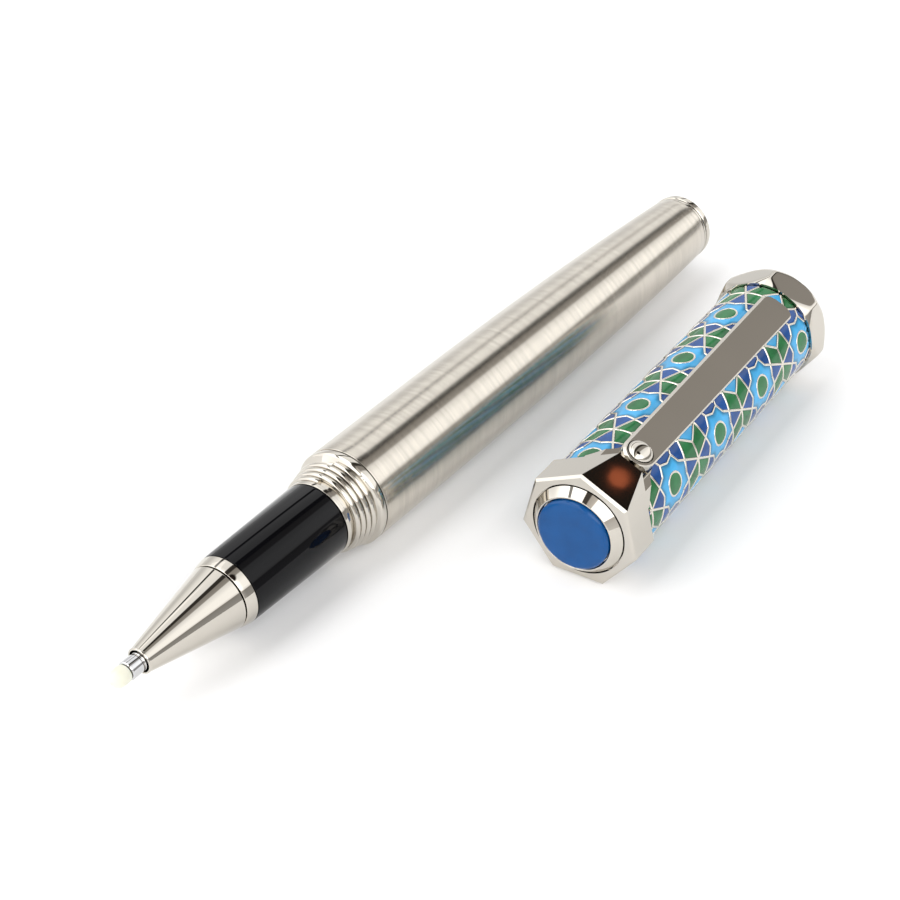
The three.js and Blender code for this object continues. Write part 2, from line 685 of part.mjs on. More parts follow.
function crownScrew() {
  const floor = INNER_CUP_START + INNER_CUP_FLOOR;
  return named("crown_screw", turned([
    [BEZEL_DEPTH + GAP, 0],
    [BEZEL_DEPTH + GAP, SCREW_RADIUS],
    [floor + GAP, SCREW_RADIUS],
    [floor + GAP, SCREW_HEAD_RADIUS],
    [floor + SCREW_HEAD_HEIGHT - SCREW_HEAD_EDGE, SCREW_HEAD_RADIUS],
    [floor + SCREW_HEAD_HEIGHT, SCREW_HEAD_RADIUS - SCREW_HEAD_EDGE],
    [floor + SCREW_HEAD_HEIGHT, 0],
  ]), BRASS);
}

function enamelTube() {
  return named("enamel_tube", tube(tubeFront, tubeBack, tubeRadius, tubeBore), ENAMEL);
}

function capLiner() {
  return named("cap_liner", turned([
    [linerFront, linerRadius],
    [tubeBack, linerRadius],
    [tubeBack, linerBore],
    [linerFront + LINER_FLOOR, linerBore],
    [linerFront + LINER_FLOOR, SCREW_RADIUS + GAP],
    [linerFront, SCREW_RADIUS + GAP],
  ]), BRASS);
}

function capInnerCup() {
  const radius = linerBore - PLAY;
  const back = INNER_CUP_START + INNER_CUP_LENGTH;
  return named("cap_inner_cup", turned([
    [INNER_CUP_START, radius - INNER_CUP_WALL / 2],
    [INNER_CUP_START + INNER_CUP_WALL / 2, radius],
    [back, radius],
    [back, radius - INNER_CUP_WALL],
    [INNER_CUP_START + INNER_CUP_FLOOR, radius - INNER_CUP_WALL],
    [INNER_CUP_START + INNER_CUP_FLOOR, SCREW_RADIUS + GAP],
    [INNER_CUP_START, SCREW_RADIUS + GAP],
  ]), PLASTIC);
}

// A seven-sided nut whose two faces are chamfered to circles, with the cap's female thread.
function lipRing() {
  const corner = cornerRadius(lipInradius);
  const faceRadius = lipInradius + LIP_FACE_STEP;
  const boreRadius = linerBore + LIP_FACE_STEP;
  const prism = toSolid(turned([
    [lipFront - OVERCUT, 0], [lipFront - OVERCUT, corner],
    [CAP_LENGTH + OVERCUT, corner], [CAP_LENGTH + OVERCUT, 0],
  ], CAP_SIDES, heptagonStart));
  const blank = toSolid(turned([
    [lipFront, 0],
    [lipFront, faceRadius],
    [lipFront + LIP_CHAMFER, corner + FINE_STEP],
    [CAP_LENGTH - LIP_CHAMFER, corner + FINE_STEP],
    [CAP_LENGTH, faceRadius],
    [CAP_LENGTH, 0],
  ]));
  const bore = toSolid(turned([
    [lipFront - OVERCUT, 0], [lipFront - OVERCUT, boreRadius],
    [CAP_LENGTH - MOUTH_FLARE, boreRadius],
    [CAP_LENGTH + MOUTH_FLARE, boreRadius + 2 * MOUTH_FLARE],
    [CAP_LENGTH + MOUTH_FLARE, 0],
  ]));
  return named("lip_ring", toGeometry(prism.intersect(blank).subtract(bore)), POLISHED);
}

// ---------------------------------------------------------------- clip

function clipArm() {
  const tipTop = clipTop - CLIP_FALL;
  const tipBottom = tipTop - CLIP_THICKNESS;
  const padFront = clipEnd - CLIP_PAD_LENGTH;
  const side = new THREE.Shape();
  side.moveTo(clipFront, clipBottom);
  side.lineTo(shelfEnd, clipBottom);
  side.lineTo(padFront - CLIP_PAD_RUN, tipBottom);
  side.quadraticCurveTo(padFront + 2 * CLIP_EDGE, tubeRadius + PLAY, clipEnd, tipBottom);
  side.lineTo(clipEnd, tipTop - CLIP_EDGE);
  side.lineTo(clipEnd - 2 * CLIP_EDGE, tipTop);
  side.lineTo(shelfEnd + CLIP_LEVEL, clipTop);
  side.lineTo(clipFront, clipTop);
  const root = CLIP_ROOT_WIDTH / 2;
  const neck = CLIP_NECK_WIDTH / 2;
  const tip = CLIP_TIP_WIDTH / 2;
  const past = FINE_STEP; // how far the plan outruns the side outline
  const plan = new THREE.Shape();
  plan.moveTo(clipFront - past, -root);
  plan.lineTo(shelfEnd, -neck);
  plan.lineTo(clipEnd - CLIP_END_ROUNDING, -tip);
  plan.quadraticCurveTo(clipEnd + past, -tip, clipEnd + past, CLIP_END_ROUNDING - tip);
  plan.lineTo(clipEnd + past, tip - CLIP_END_ROUNDING);
  plan.quadraticCurveTo(clipEnd + past, tip, clipEnd - CLIP_END_ROUNDING, tip);
  plan.lineTo(shelfEnd, neck);
  plan.lineTo(clipFront - past, root);
  const seat = toSolid(
    new THREE.CylinderGeometry(STUD_RADIUS + GAP, STUD_RADIUS + GAP, STUD_HOLE_LENGTH, FINE_SIDES)
      .rotateX(Math.PI / 2).translate(studAt, 0, clipBottom),
  );
  const arm = toSolid(sideCut(side, 2 * CLIP_TIP_WIDTH))
    .intersect(toSolid(planCut(plan, tubeRadius - OVERCUT, clipTop + OVERCUT)))
    .subtract(seat);
  return named("clip_arm", toGeometry(arm), POLISHED);
}

function clipStud() {
  const rim = clipTop - STUD_SINK;
  const profile = [
    [tubeClearance, 0],
    [tubeClearance, STUD_SHANK_RADIUS],
    [shelfTop + GAP, STUD_SHANK_RADIUS],
    [shelfTop + GAP, STUD_RADIUS],
    [rim, STUD_RADIUS],
    ...dome(rim, STUD_RADIUS, STUD_DOME, 4),
  ];
  const upright = turned(profile, FINE_SIDES).rotateY(-Math.PI / 2);
  return named("clip_stud", upright.translate(studAt, 0, 0), POLISHED);
}

// ---------------------------------------------------------------- assembly

function penParts() {
  const group = new THREE.Group();
  group.add(
    noseCone(), noseBand(), gripCore(), gripSleeve(), threadCollar(), sectionORing(),
    barrelShell(), barrelInsert(), springSeat(), refillSpring(), tailRing(), tailCap(),
    refillTube(), refillNose(), refillTip(), inkReservoir(), refillPlug(), writingBall(), tipWax(),
  );
  group.position.z = facetHeight(barrelRadius);
  return group;
}

// The cap rests on one flat of its crown and one flat of its lip ring, half a facet round
// from the clip, so the clip leans away from the pen.
function capParts() {
  const group = new THREE.Group();
  group.add(
    capCrown(), crownBezel(), crownStone(), crownScrew(), enamelTube(), capLiner(),
    capInnerCup(), lipRing(), clipArm(), clipStud(),
  );
  const tilt = Math.atan((lipInradius - crownInradius) / (lipFront - CROWN_CHAMFER));
  group.rotation.set(Math.PI / CAP_SIDES, -tilt, CAP_YAW, "ZYX");
  const height = crownInradius * Math.cos(tilt) - CROWN_CHAMFER * Math.sin(tilt);
  group.position.set(CAP_BEHIND, -CAP_ASIDE, height);
  return group;
}

const rollerballPen = new THREE.Group();
rollerballPen.add(penParts(), capParts());

// The origin is the middle of the whole layout's footprint, on the table.
rollerballPen.updateMatrixWorld(true);
const footprint = new THREE.Box3().setFromObject(rollerballPen, true);
const middle = footprint.getCenter(new THREE.Vector3());
rollerballPen.position.set(-middle.x, -middle.y, -footprint.min.z);

export default rollerballPen;
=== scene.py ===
import json
import math

import bmesh
import bpy
import numpy as np
from bpy.props import FloatProperty, FloatVectorProperty, IntProperty, PointerProperty
from mathutils import Matrix, Vector


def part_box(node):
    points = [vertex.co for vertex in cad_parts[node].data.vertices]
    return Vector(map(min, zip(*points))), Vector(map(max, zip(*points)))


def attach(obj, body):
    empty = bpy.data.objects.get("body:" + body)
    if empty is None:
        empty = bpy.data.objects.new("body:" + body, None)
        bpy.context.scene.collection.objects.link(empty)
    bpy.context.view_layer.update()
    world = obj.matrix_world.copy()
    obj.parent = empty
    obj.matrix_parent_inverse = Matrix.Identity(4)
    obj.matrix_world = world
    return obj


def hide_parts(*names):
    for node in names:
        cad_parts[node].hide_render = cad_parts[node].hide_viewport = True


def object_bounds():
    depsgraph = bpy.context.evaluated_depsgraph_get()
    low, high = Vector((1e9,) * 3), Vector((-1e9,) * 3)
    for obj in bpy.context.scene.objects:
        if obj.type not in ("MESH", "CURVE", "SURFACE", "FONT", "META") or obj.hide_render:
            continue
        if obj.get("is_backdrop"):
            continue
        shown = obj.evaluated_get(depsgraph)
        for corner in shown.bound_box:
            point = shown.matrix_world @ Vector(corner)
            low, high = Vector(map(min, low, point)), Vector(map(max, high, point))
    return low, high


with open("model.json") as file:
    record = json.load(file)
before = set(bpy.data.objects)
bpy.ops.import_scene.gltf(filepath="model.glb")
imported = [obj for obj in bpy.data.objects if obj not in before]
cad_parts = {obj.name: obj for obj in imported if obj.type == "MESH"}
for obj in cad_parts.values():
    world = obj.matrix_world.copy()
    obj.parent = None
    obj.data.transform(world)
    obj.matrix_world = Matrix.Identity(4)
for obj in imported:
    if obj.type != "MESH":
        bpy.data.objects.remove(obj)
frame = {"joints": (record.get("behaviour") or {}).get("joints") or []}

bl_info = {
    "name": "Rollerball Pen",
    "version": (1, 0, 0),
    "blender": (4, 5, 0),
    "location": "View3D > Sidebar > Rollerball Pen",
    "description": "Builds the finished surfaces of a screw-cap rollerball pen and its cap",
    "category": "Add Mesh",
}

MM = 0.001
AROUND = 128  # faces round a turned piece
BEND = math.radians(32)  # sharper edges than this stay crisp
HINGE_ALONG = 7.3  # cap's closed face to the clip's hinge
HINGE_UP = 8.0  # cap's axis to the clip's hinge

# ---------------------------------------------------------------- places from the frame


def joint(name):
    return next(j for j in frame["joints"] if j["name"] == name)


def pen_matrix():
    """Millimetres along the pen from the barrel's mouth, to the row frame."""
    low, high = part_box("barrel_shell")
    mouth = Vector(joint("barrel_turn")["pos_m"])
    mouth.y = (low.y + high.y) / 2
    return Matrix.Translation(mouth) @ Matrix.Scale(MM, 4)


def cap_matrix():
    """Millimetres in the cap's own frame, X from its closed face and Z through the clip."""
    along = -Vector(joint("cap_slide")["axis"]).normalized()
    across = -Vector(joint("clip_flex")["axis"]).normalized()
    up = along.cross(across).normalized()
    across = up.cross(along)
    hinge = Vector(joint("clip_flex")["pos_m"])
    face = hinge - along * HINGE_ALONG * MM - up * HINGE_UP * MM
    turn = Matrix((along, across, up)).transposed().to_4x4()
    return Matrix.Translation(face) @ turn @ Matrix.Scale(MM, 4)


PEN = pen_matrix()
CAP = cap_matrix()

# ---------------------------------------------------------------- mesh helpers


def mesh_object(name, verts, faces, place=Matrix.Identity(4)):
    mesh = bpy.data.meshes.new(name)
    mesh.from_pydata([tuple(v) for v in verts], [], faces)
    mesh.transform(place)
    tidy_mesh(mesh)
    return link(name, mesh)


def link(name, mesh):
    obj = bpy.data.objects.new(name, mesh)
    bpy.context.scene.collection.objects.link(obj)
    return obj


def tidy_mesh(mesh, merge=1e-7):
    work = bmesh.new()
    work.from_mesh(mesh)
    bmesh.ops.remove_doubles(work, verts=work.verts, dist=merge)
    bmesh.ops.recalc_face_normals(work, faces=work.faces)
    work.to_mesh(mesh)
    work.free()
    mesh.shade_smooth()
    mesh.set_sharp_from_angle(angle=BEND)


def eased(points, radius, steps=3):
    """Rounds the corners of a profile. One that doesn't touch the axis is a closed loop."""
    loop = points[0][1] > 0
    out = []
    count = len(points)
    for i, (x, r) in enumerate(points):
        if not loop and i in (0, count - 1):
            out.append((x, r))
            continue
        here = Vector((x, r))
        back = Vector(points[i - 1]) - here
        ahead = Vector(points[(i + 1) % count]) - here
        bend = back.angle(-ahead) if back.length > 1e-9 and ahead.length > 1e-9 else 0
        if bend < math.radians(18):
            out.append((x, r))
            continue
        reach = min(radius, 0.4 * back.length, 0.4 * ahead.length)
        start, end = here + back.normalized() * reach, here + ahead.normalized() * reach
        for k in range(steps + 1):
            t = k / steps
            p = start * (1 - t) ** 2 + here * 2 * t * (1 - t) + end * t ** 2
            out.append((p.x, p.y))
    return out


def arc(centre, radius, start, end, steps=8):
    """Points on an ellipse in a profile, at angles from +x towards the outside."""
    across, out = radius if isinstance(radius, tuple) else (radius, radius)
    points = []
    for i in range(steps + 1):
        a = math.radians(start + (end - start) * i / steps)
        points.append((centre[0] + across * math.cos(a), centre[1] + out * math.sin(a)))
    return points


def lathe(points, around=AROUND):
    """Vertices and faces of a profile of (x, r) turned about the X axis."""
    verts, rings, faces = [], [], []
    for x, r in points:
        if abs(r) < 1e-9:
            rings.append([len(verts)])
            verts.append((x, 0, 0))
            continue
        rings.append(list(range(len(verts), len(verts) + around)))
        for k in range(around):
            a = 2 * math.pi * k / around
            verts.append((x, r * math.sin(a), r * math.cos(a)))
    pairs = list(zip(rings, rings[1:]))
    if len(rings[0]) > 1:
        pairs.append((rings[-1], rings[0]))
    for first, second in pairs:
        for k in range(around):
            n = (k + 1) % around
            quad = [first[k % len(first)], first[n % len(first)],
                    second[n % len(second)], second[k % len(second)]]
            face = list(dict.fromkeys(quad))
            if len(face) > 2:
                faces.append(face)
    return verts, faces


def turned(name, points, place, ease=0.05, around=AROUND):
    verts, faces = lathe(eased(points, ease), around)
    return mesh_object(name, verts, faces, place)


def tube_profile(start, end, outer, inner):
    return [(start, outer), (end, outer), (end, inner), (start, inner)]


def cutter(points, around=AROUND):
    verts, faces = lathe(points, around)
    return mesh_object("cutter", verts, faces)


def prism(outline, low, high):
    """A closed slab between two heights, from an outline of (x, y)."""
    count = len(outline)
    verts = [(x, y, low) for x, y in outline] + [(x, y, high) for x, y in outline]
    faces = [list(range(count)), list(range(2 * count - 1, count - 1, -1))]
    faces += [[i, (i + 1) % count, count + (i + 1) % count, count + i] for i in range(count)]
    return mesh_object("cutter", verts, faces)


def combine(target, other, operation):
    """Cuts, joins or intersects target with other, and removes other."""
    modifier = target.modifiers.new("boolean", "BOOLEAN")
    modifier.solver = "EXACT"
    modifier.operation = operation
    modifier.object = other
    apply_modifiers(target)
    mesh = other.data
    bpy.data.objects.remove(other)
    bpy.data.meshes.remove(mesh)


def apply_modifiers(obj):
    shown = bpy.context.evaluated_depsgraph_get()
    made = bpy.data.meshes.new_from_object(obj.evaluated_get(shown), depsgraph=shown)
    old, name = obj.data, obj.data.name
    obj.modifiers.clear()
    obj.data = made
    bpy.data.meshes.remove(old)
    made.name = name


def bevel(obj, width, segments=2, angle=25):
    modifier = obj.modifiers.new("edges", "BEVEL")
    modifier.width = width
    modifier.segments = segments
    modifier.limit_method = "ANGLE"
    modifier.angle_limit = math.radians(angle)
    modifier.miter_outer = "MITER_ARC"
    apply_modifiers(obj)
    obj.data.shade_smooth()
    obj.data.set_sharp_from_angle(angle=BEND)
    flat = obj.modifiers.new("flat faces", "WEIGHTED_NORMAL")
    flat.weight = 100
    flat.keep_sharp = True
    apply_modifiers(obj)


def place_mesh(obj, place):
    obj.data.transform(place)
    obj.data.update()


def dome(start, rise, radius, steps):
    """Points of a dome that starts at radius and climbs along the axis, short of its top."""
    angles = [math.pi / 2 * i / steps for i in range(steps)]
    return [(start + rise * math.sin(a), radius * math.cos(a)) for a in angles]


def circle(radius, height, sides):
    """Points round an upright circle about the origin."""
    angles = [2 * math.pi * k / sides for k in range(sides)]
    return [(radius * math.cos(a), radius * math.sin(a), height) for a in angles]


def strips(rows, count):
    """Faces between rows of points that each close on themselves."""
    faces = []
    for i in range(rows - 1):
        a = i * count
        b = a + count
        faces += [[a + k, a + (k + 1) % count, b + (k + 1) % count, b + k] for k in range(count)]
    return faces


def dress(obj, body, slot, material, *stands_for):
    """Gives a finished piece its material and its place in the object."""
    obj.data.materials.clear()
    obj.data.materials.append(material)
    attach(obj, body)
    if stands_for:
        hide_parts(*stands_for)
    return obj


# ---------------------------------------------------------------- node helpers


def add_node(tree, kind, settings, inputs):
    """A node whose inputs are given by name, or by position as _0, _1."""
    node = tree.nodes.new(kind)
    for key, value in (settings or {}).items():
        setattr(node, key, value)
    for key, value in inputs.items():
        socket = node.inputs[int(key[1:])] if key[0] == "_" else node.inputs[key.replace("_", " ")]
        if isinstance(value, bpy.types.Node):
            value = value.outputs[0]
        if isinstance(value, bpy.types.NodeSocket):
            tree.links.new(value, socket)
        else:
            socket.default_value = value
    return node


class Tree:
    """A geometry node group that is built line by line."""

    def __init__(self, name, **inputs):
        self.group = bpy.data.node_groups.new(name, "GeometryNodeTree")
        face = self.group.interface
        face.new_socket("Geometry", in_out="INPUT", socket_type="NodeSocketGeometry")
        face.new_socket("Geometry", in_out="OUTPUT", socket_type="NodeSocketGeometry")
        for label, value in inputs.items():
            kind = "NodeSocketInt" if isinstance(value, int) else "NodeSocketFloat"
            if isinstance(value, bpy.types.Material):
                kind = "NodeSocketMaterial"
            if isinstance(value, bpy.types.Object):
                kind = "NodeSocketObject"
            face.new_socket(label.replace("_", " ").capitalize(), in_out="INPUT", socket_type=kind)
        self.source = self.group.nodes.new("NodeGroupInput")
        self.values = inputs

    def value(self, label):
        return self.source.outputs[label.replace("_", " ").capitalize()]

    def add(self, kind, settings=None, **inputs):
        return add_node(self.group, kind, settings, inputs)

    def math(self, operation, a, b=0.0):
        return self.add("ShaderNodeMath", {"operation": operation}, _0=a, _1=b)

    def bake(self, obj, result):
        """Ends the tree, runs it on an object and leaves that object a plain mesh."""
        output = self.group.nodes.new("NodeGroupOutput")
        self.group.links.new(result.outputs[0], output.inputs[0])
        modifier = obj.modifiers.new("nodes", "NODES")
        modifier.node_group = self.group
        for item in self.group.interface.items_tree:
            if item.in_out != "INPUT" or item.socket_type == "NodeSocketGeometry":
                continue
            key = next(k for k in self.values if k.replace("_", " ").capitalize() == item.name)
            modifier[item.identifier] = self.values[key]
        apply_modifiers(obj)
        return obj


# ---------------------------------------------------------------- materials

MIX_FIRST = 6  # a mix node's first colour
MIX_SECOND = 7
MIX_RESULT = 2


def shader(name, color, metallic=0.0, roughness=0.3, **sockets):
    material = bpy.data.materials.new(name)
    material.use_nodes = True
    base = material.node_tree.nodes["Principled BSDF"]
    base.inputs["Base Color"].default_value = (*color, 1)
    base.inputs["Metallic"].default_value = metallic
    base.inputs["Roughness"].default_value = roughness
    for label, value in sockets.items():
        base.inputs[label.replace("_", " ")].default_value = value
    return material, base


def add(material, kind, settings=None, **inputs):
    return add_node(material.node_tree, kind, settings, inputs)


def noise(material, scale, detail=3.0, stretch=(1, 1, 1), turn=(0, 0, 0)):
    """Noise in metres of the object, stretched along its axes."""
    place = add(material, "ShaderNodeTexCoord").outputs["Object"]
    mapping = add(material, "ShaderNodeMapping", Vector=place)
    mapping.inputs["Scale"].default_value = stretch
    mapping.inputs["Rotation"].default_value = turn
    node = add(material, "ShaderNodeTexNoise", Vector=mapping.outputs[0])
    node.inputs["Scale"].default_value = scale
    node.inputs["Detail"].default_value = detail
    return node.outputs["Fac"]


def spread(material, value, low, high):
    """A value from 0 to 1 moved to a range."""
    return add(material, "ShaderNodeMapRange", Value=value, To_Min=low, To_Max=high).outputs[0]


def mix_color(material, factor, first, second):
    node = add(material, "ShaderNodeMix", {"data_type": "RGBA"}, _0=factor)
    node.inputs[MIX_FIRST].default_value = (*first, 1)
    node.inputs[MIX_SECOND].default_value = (*second, 1)
    return node.outputs[MIX_RESULT]


def bump(material, base, height, distance, strength=1.0):
    node = add(material, "ShaderNodeBump", Height=height, Distance=distance, Strength=strength)
    material.node_tree.links.new(node.outputs[0], base.inputs["Normal"])


def wire(material, value, base, label):
    material.node_tree.links.new(value, base.inputs[label])


def darker(color, share):
    return tuple(c * share for c in color)


def polished_metal(name, color, roughness=0.03):
    material, base = shader(name, color, 1.0, roughness)
    cloud = noise(material, 90, 2.0)
    wire(material, mix_color(material, cloud, darker(color, 0.93), color), base, "Base Color")
    scratch = noise(material, 900, 4.0, (1, 0.12, 0.12), (0.3, 0.2, 0.5))
    wire(material, spread(material, scratch, roughness * 0.7, roughness * 1.4), base, "Roughness")
    bump(material, base, noise(material, 260, 2.0), 0.00001, 0.12)
    return material


def brushed_metal(name, color):
    """Metal brushed round the pen: its lines lie across X and catch the light along it."""
    material, base = shader(name, color, 1.0, 0.2, Anisotropic=0.9, Anisotropic_Rotation=0.25)
    around = add(material, "ShaderNodeTangent", {"direction_type": "RADIAL", "axis": "X"})
    wire(material, around.outputs[0], base, "Tangent")
    fine = noise(material, 30, 5.0, (260, 6.0, 6.0))
    broad = noise(material, 30, 3.0, (40, 3.0, 3.0))
    shade = add(material, "ShaderNodeMath", {"operation": "ADD"}, _0=fine, _1=broad).outputs[0]
    tone = add(material, "ShaderNodeMapRange", Value=shade, From_Min=0.7, From_Max=1.3).outputs[0]
    wire(material, mix_color(material, tone, darker(color, 0.89), darker(color, 1.07)), base, "Base Color")
    wire(material, spread(material, fine, 0.15, 0.26), base, "Roughness")
    bump(material, base, fine, 0.000001, 0.5)
    return material


def lacquer(name, color):
    material, base = shader(name, color, 0.0, 0.03, Specular_IOR_Level=0.18)
    tone = noise(material, 120, 3.0)
    wire(material, mix_color(material, tone, darker(color, 0.5), color), base, "Base Color")
    bump(material, base, noise(material, 160, 2.0), 0.00002, 0.08)
    return material


def glaze(name, color, deep, edges=False):
    """Vitreous enamel: clear gloss over a clouded colour, and with edges set, painted shade that darkens
    towards its cells' edges beside the wires.
    """
    material, base = shader(name, color, 0.0, 0.12, Specular_IOR_Level=0.28)
    cloud = noise(material, 420, 4.0)
    tone = spread(material, cloud, -0.5, 1.5)
    clouded = mix_color(material, tone, deep, color)
    # painted shade: each cell goes to deep times 0.45 at its edges beside the wires
    edge_shaded = mix_color(material, 1.0, darker(deep, 0.45), color)
    material.node_tree.links.new(clouded, edge_shaded.node.inputs[MIX_SECOND])
    # edges turns the painted shade on, masked by the crown attribute that is 0 at a cell's edge
    if edges:
        inside = add(material, "ShaderNodeAttribute", {"attribute_name": "crown"}).outputs["Fac"]
        rise = add(material, "ShaderNodeMapRange", {"interpolation_type": "SMOOTHSTEP"}, Value=inside,
                   From_Max=0.3)
        material.node_tree.links.new(rise.outputs[0], edge_shaded.node.inputs[0])
    wire(material, edge_shaded, base, "Base Color")
    bump(material, base, noise(material, 700, 2.0), 0.00003, 0.35)
    return material


def plastic(name, color, roughness=0.42, grain=1800):
    material, base = shader(name, color, 0.0, roughness)
    speck = noise(material, grain, 3.0)
    wire(material, mix_color(material, speck, darker(color, 0.7), color), base, "Base Color")
    wire(material, spread(material, speck, roughness * 0.8, roughness * 1.25), base, "Roughness")
    bump(material, base, speck, 0.00002, 0.4)
    return material


def sealing_wax(name, color):
    material, base = shader(name, color, 0.0, 0.42, Subsurface_Weight=0.35, Subsurface_Scale=0.0006)
    base.inputs["Subsurface Radius"].default_value = (1.0, 0.8, 0.5)
    cloud = noise(material, 700, 3.0)
    wire(material, mix_color(material, cloud, darker(color, 0.82), color), base, "Base Color")
    bump(material, base, noise(material, 900, 3.0), 0.00006, 0.6)
    return material


def machined(name, color, roughness=0.24):
    """Turned metal with fine tool lines across the pen's and the cap's length."""
    material, base = shader(name, color, 1.0, roughness)
    lines = noise(material, 40, 3.0, (120, 1.5, 1.5))
    wire(material, mix_color(material, lines, darker(color, 0.8), color), base, "Base Color")
    wire(material, spread(material, lines, roughness * 0.7, roughness * 1.5), base, "Roughness")
    bump(material, base, lines, 0.00001, 0.4)
    return material


# ---------------------------------------------------------------- settings


def length(label, what, value, low=0.01):
    return FloatProperty(name=label, description=what + ", in millimetres", default=value, min=low)


def tint(label, what, value):
    return FloatVectorProperty(name=label, description=what, default=value, subtype="COLOR",
                               size=3, min=0, max=1)


class PenSizes(bpy.types.PropertyGroup):
    """Sizes of the writing half."""

    section: length("Section length", "Barrel's mouth to the nose opening", 36.4)
    nose: length("Nose length", "Length of the polished nose cone", 13.1)
    nose_front: length("Nose opening", "Outside radius at the nose opening", 1.5)
    nose_back: length("Nose back", "Outside radius at the nose cone's back", 4.14)
    band: length("Band length", "Length of the polished band behind the nose", 1.6)
    grip_front: length("Grip front", "Radius of the black grip at its front", 4.48)
    grip_back: length("Grip back", "Radius of the black grip at its back", 4.8)
    collar: length("Collar length", "Length of the cap thread and its ring", 5.6)
    barrel: length("Barrel length", "Length of the brushed barrel", 78.3)
    barrel_radius: length("Barrel radius", "Radius of the barrel's straight part", 6.3)
    taper: length("Barrel taper", "Radius that the barrel loses towards its tail", 1.56)
    seam: length("Seam", "Gap between neighbours on the outside", 0.15)
    ridges: IntProperty(name="Thread turns", description="Turns of the cap thread", default=4, min=1)


class CapSizes(bpy.types.PropertyGroup):
    """Sizes of the cap."""

    length: length("Cap length", "Closed face to the open end", 54.2)
    crown: length("Crown length", "Length of the seven-sided crown", 4.7)
    inradius: length("Crown flats", "Middle of the crown to one of its flats", 6.92)
    tube: length("Tube radius", "Outside radius of the enamel tube", 6.85)
    lip_inradius: length("Lip flats", "Middle of the lip ring to one of its flats", 7.18)
    lip: length("Lip length", "Length of the seven-sided lip ring", 4.2)
    seam: length("Seam", "Gap between neighbours on the outside", 0.15)
    clip_front: length("Clip front", "Closed face to the clip's front end", 5.25)
    clip_end: length("Clip end", "Closed face to the clip's tip", 46.4)
    clip_top: length("Clip top", "Height of the clip's top over the cap's axis", 8.95)
    clip_drop: length("Clip drop", "How much lower its tip is", 0.5)
    clip_thick: length("Clip thickness", "Thickness of the clip", 0.95)
    stud: length("Stud place", "Closed face to the middle of the domed stud", 7.3)
    stud_radius: length("Stud radius", "Radius of the domed stud", 1.58)


class EnamelPattern(bpy.types.PropertyGroup):
    """The star pattern round the cap."""

    period: length("Period", "Length of one star along the cap", 12.08)
    rows: IntProperty(name="Rows", description="Rows of stars round the cap", default=4, min=2)
    first: length("First star", "Closed face to a star's middle on the first row", 11.57)
    star: length("Star points", "Radius of the star's eight points", 3.55)
    notch: length("Star notches", "Radius of the notches between the points", 2.85)
    boss: length("Boss", "Radius of the round boss in each star", 1.45)
    wire: length("Wire", "Radius of the metal wire between the cells", 0.18)


class Finishes(bpy.types.PropertyGroup):
    """Colours of the finishes."""

    polished: tint("Polished metal", "Plating of the polished pieces", (0.61, 0.575, 0.515))
    brushed: tint("Brushed metal", "The brushed barrel", (0.6, 0.56, 0.495))
    brass: tint("Brass", "Inner turned pieces", (0.76, 0.58, 0.3))
    steel: tint("Steel", "Refill and spring", (0.62, 0.62, 0.63))
    grip: tint("Grip", "Black lacquer of the grip", (0.003, 0.003, 0.004))
    sky: tint("Sky enamel", "Light blue cells", (0.07, 0.42, 0.78))
    navy: tint("Navy enamel", "Dark blue cells", (0.018, 0.09, 0.33))
    green: tint("Green enamel", "Green cells", (0.025, 0.19, 0.06))
    stone: tint("Stone", "Disc in the crown", (0.003, 0.07, 0.24))
    wax: tint("Wax", "Seal on the writing tip", (0.79, 0.78, 0.66))


class StageSettings(bpy.types.PropertyGroup):
    """Camera and light."""

    heading: FloatProperty(name="Heading", description="Camera's direction from +X towards +Y",
                           default=math.radians(34.975), subtype="ANGLE")
    pitch: FloatProperty(name="Pitch", description="How far the camera looks down",
                         default=math.radians(35.206), subtype="ANGLE")
    distance: FloatProperty(name="Distance", description="Camera to its target", default=0.2612,
                            unit="LENGTH")
    light: FloatProperty(name="Light", description="Strength of the studio's soft light", default=1.0, min=0)
    lens: FloatProperty(name="Lens", description="Focal length", default=85.24, unit="CAMERA")


def pen():
    return bpy.context.scene.pen_sizes


def cap():
    return bpy.context.scene.cap_sizes


def colors():
    return bpy.context.scene.pen_finishes


def once(maker, name, *values):
    """The finish of that name, made the first time."""
    name = "finish_" + name
    return bpy.data.materials.get(name) or maker(name, *values)


def plating():
    return once(polished_metal, "polished_plating", colors().polished)


def brass():
    return once(machined, "turned_brass", colors().brass)


def steel():
    return once(machined, "drawn_steel", colors().steel, 0.2)


def black_plastic():
    return once(plastic, "moulded_black", (0.03, 0.031, 0.035))


# ---------------------------------------------------------------- the pen

TIP_SHOWING = 2.05  # metal tube of the tip in front of the nose opening
TIP_RADIUS = 1.165
TIP_CONE = 1.15  # ball's middle to the front of that tube
TIP_TO_SHOULDER = 10.45
BALL_RADIUS = 0.35
WAX_RADIUS = 1.09
WAX_LENGTH = 2.15
REFILL_RADIUS = 2.95
REFILL_NECK = 4  # refill's shoulder to the front of its tube
REFILL_INSIDE = 2.45  # radius of the nose and the plug inside the tube
REFILL_BACK = 8.1  # refill's back end to the barrel's
GROOVE_RADIUS = 2.82  # crimped grooves round the refill's tube
SLEEVE_BORE = 4.05  # bore of the grip and the collar
CORE_BORE = 3.1
CORE_THREAD = 1.6  # barrel's front to where the core's thread and the insert start
BARREL_WALL = 0.75
BARREL_STRAIGHT = 12  # length of the barrel before its taper
BARREL_QUICKENING = 2.35  # power that the taper grows with
TAIL_RING_LENGTH = 0.35
TAIL_STEM = 1.3
TAIL_BORE = 1.4
SEAT_LENGTH = 3


def tip_front():
    return -pen().section - TIP_SHOWING


def refill_front():
    return tip_front() + TIP_TO_SHOULDER + REFILL_NECK


def core_front():
    """Front of the grip, and of the core inside it."""
    s = pen()
    return -s.section + s.nose + s.band + s.seam


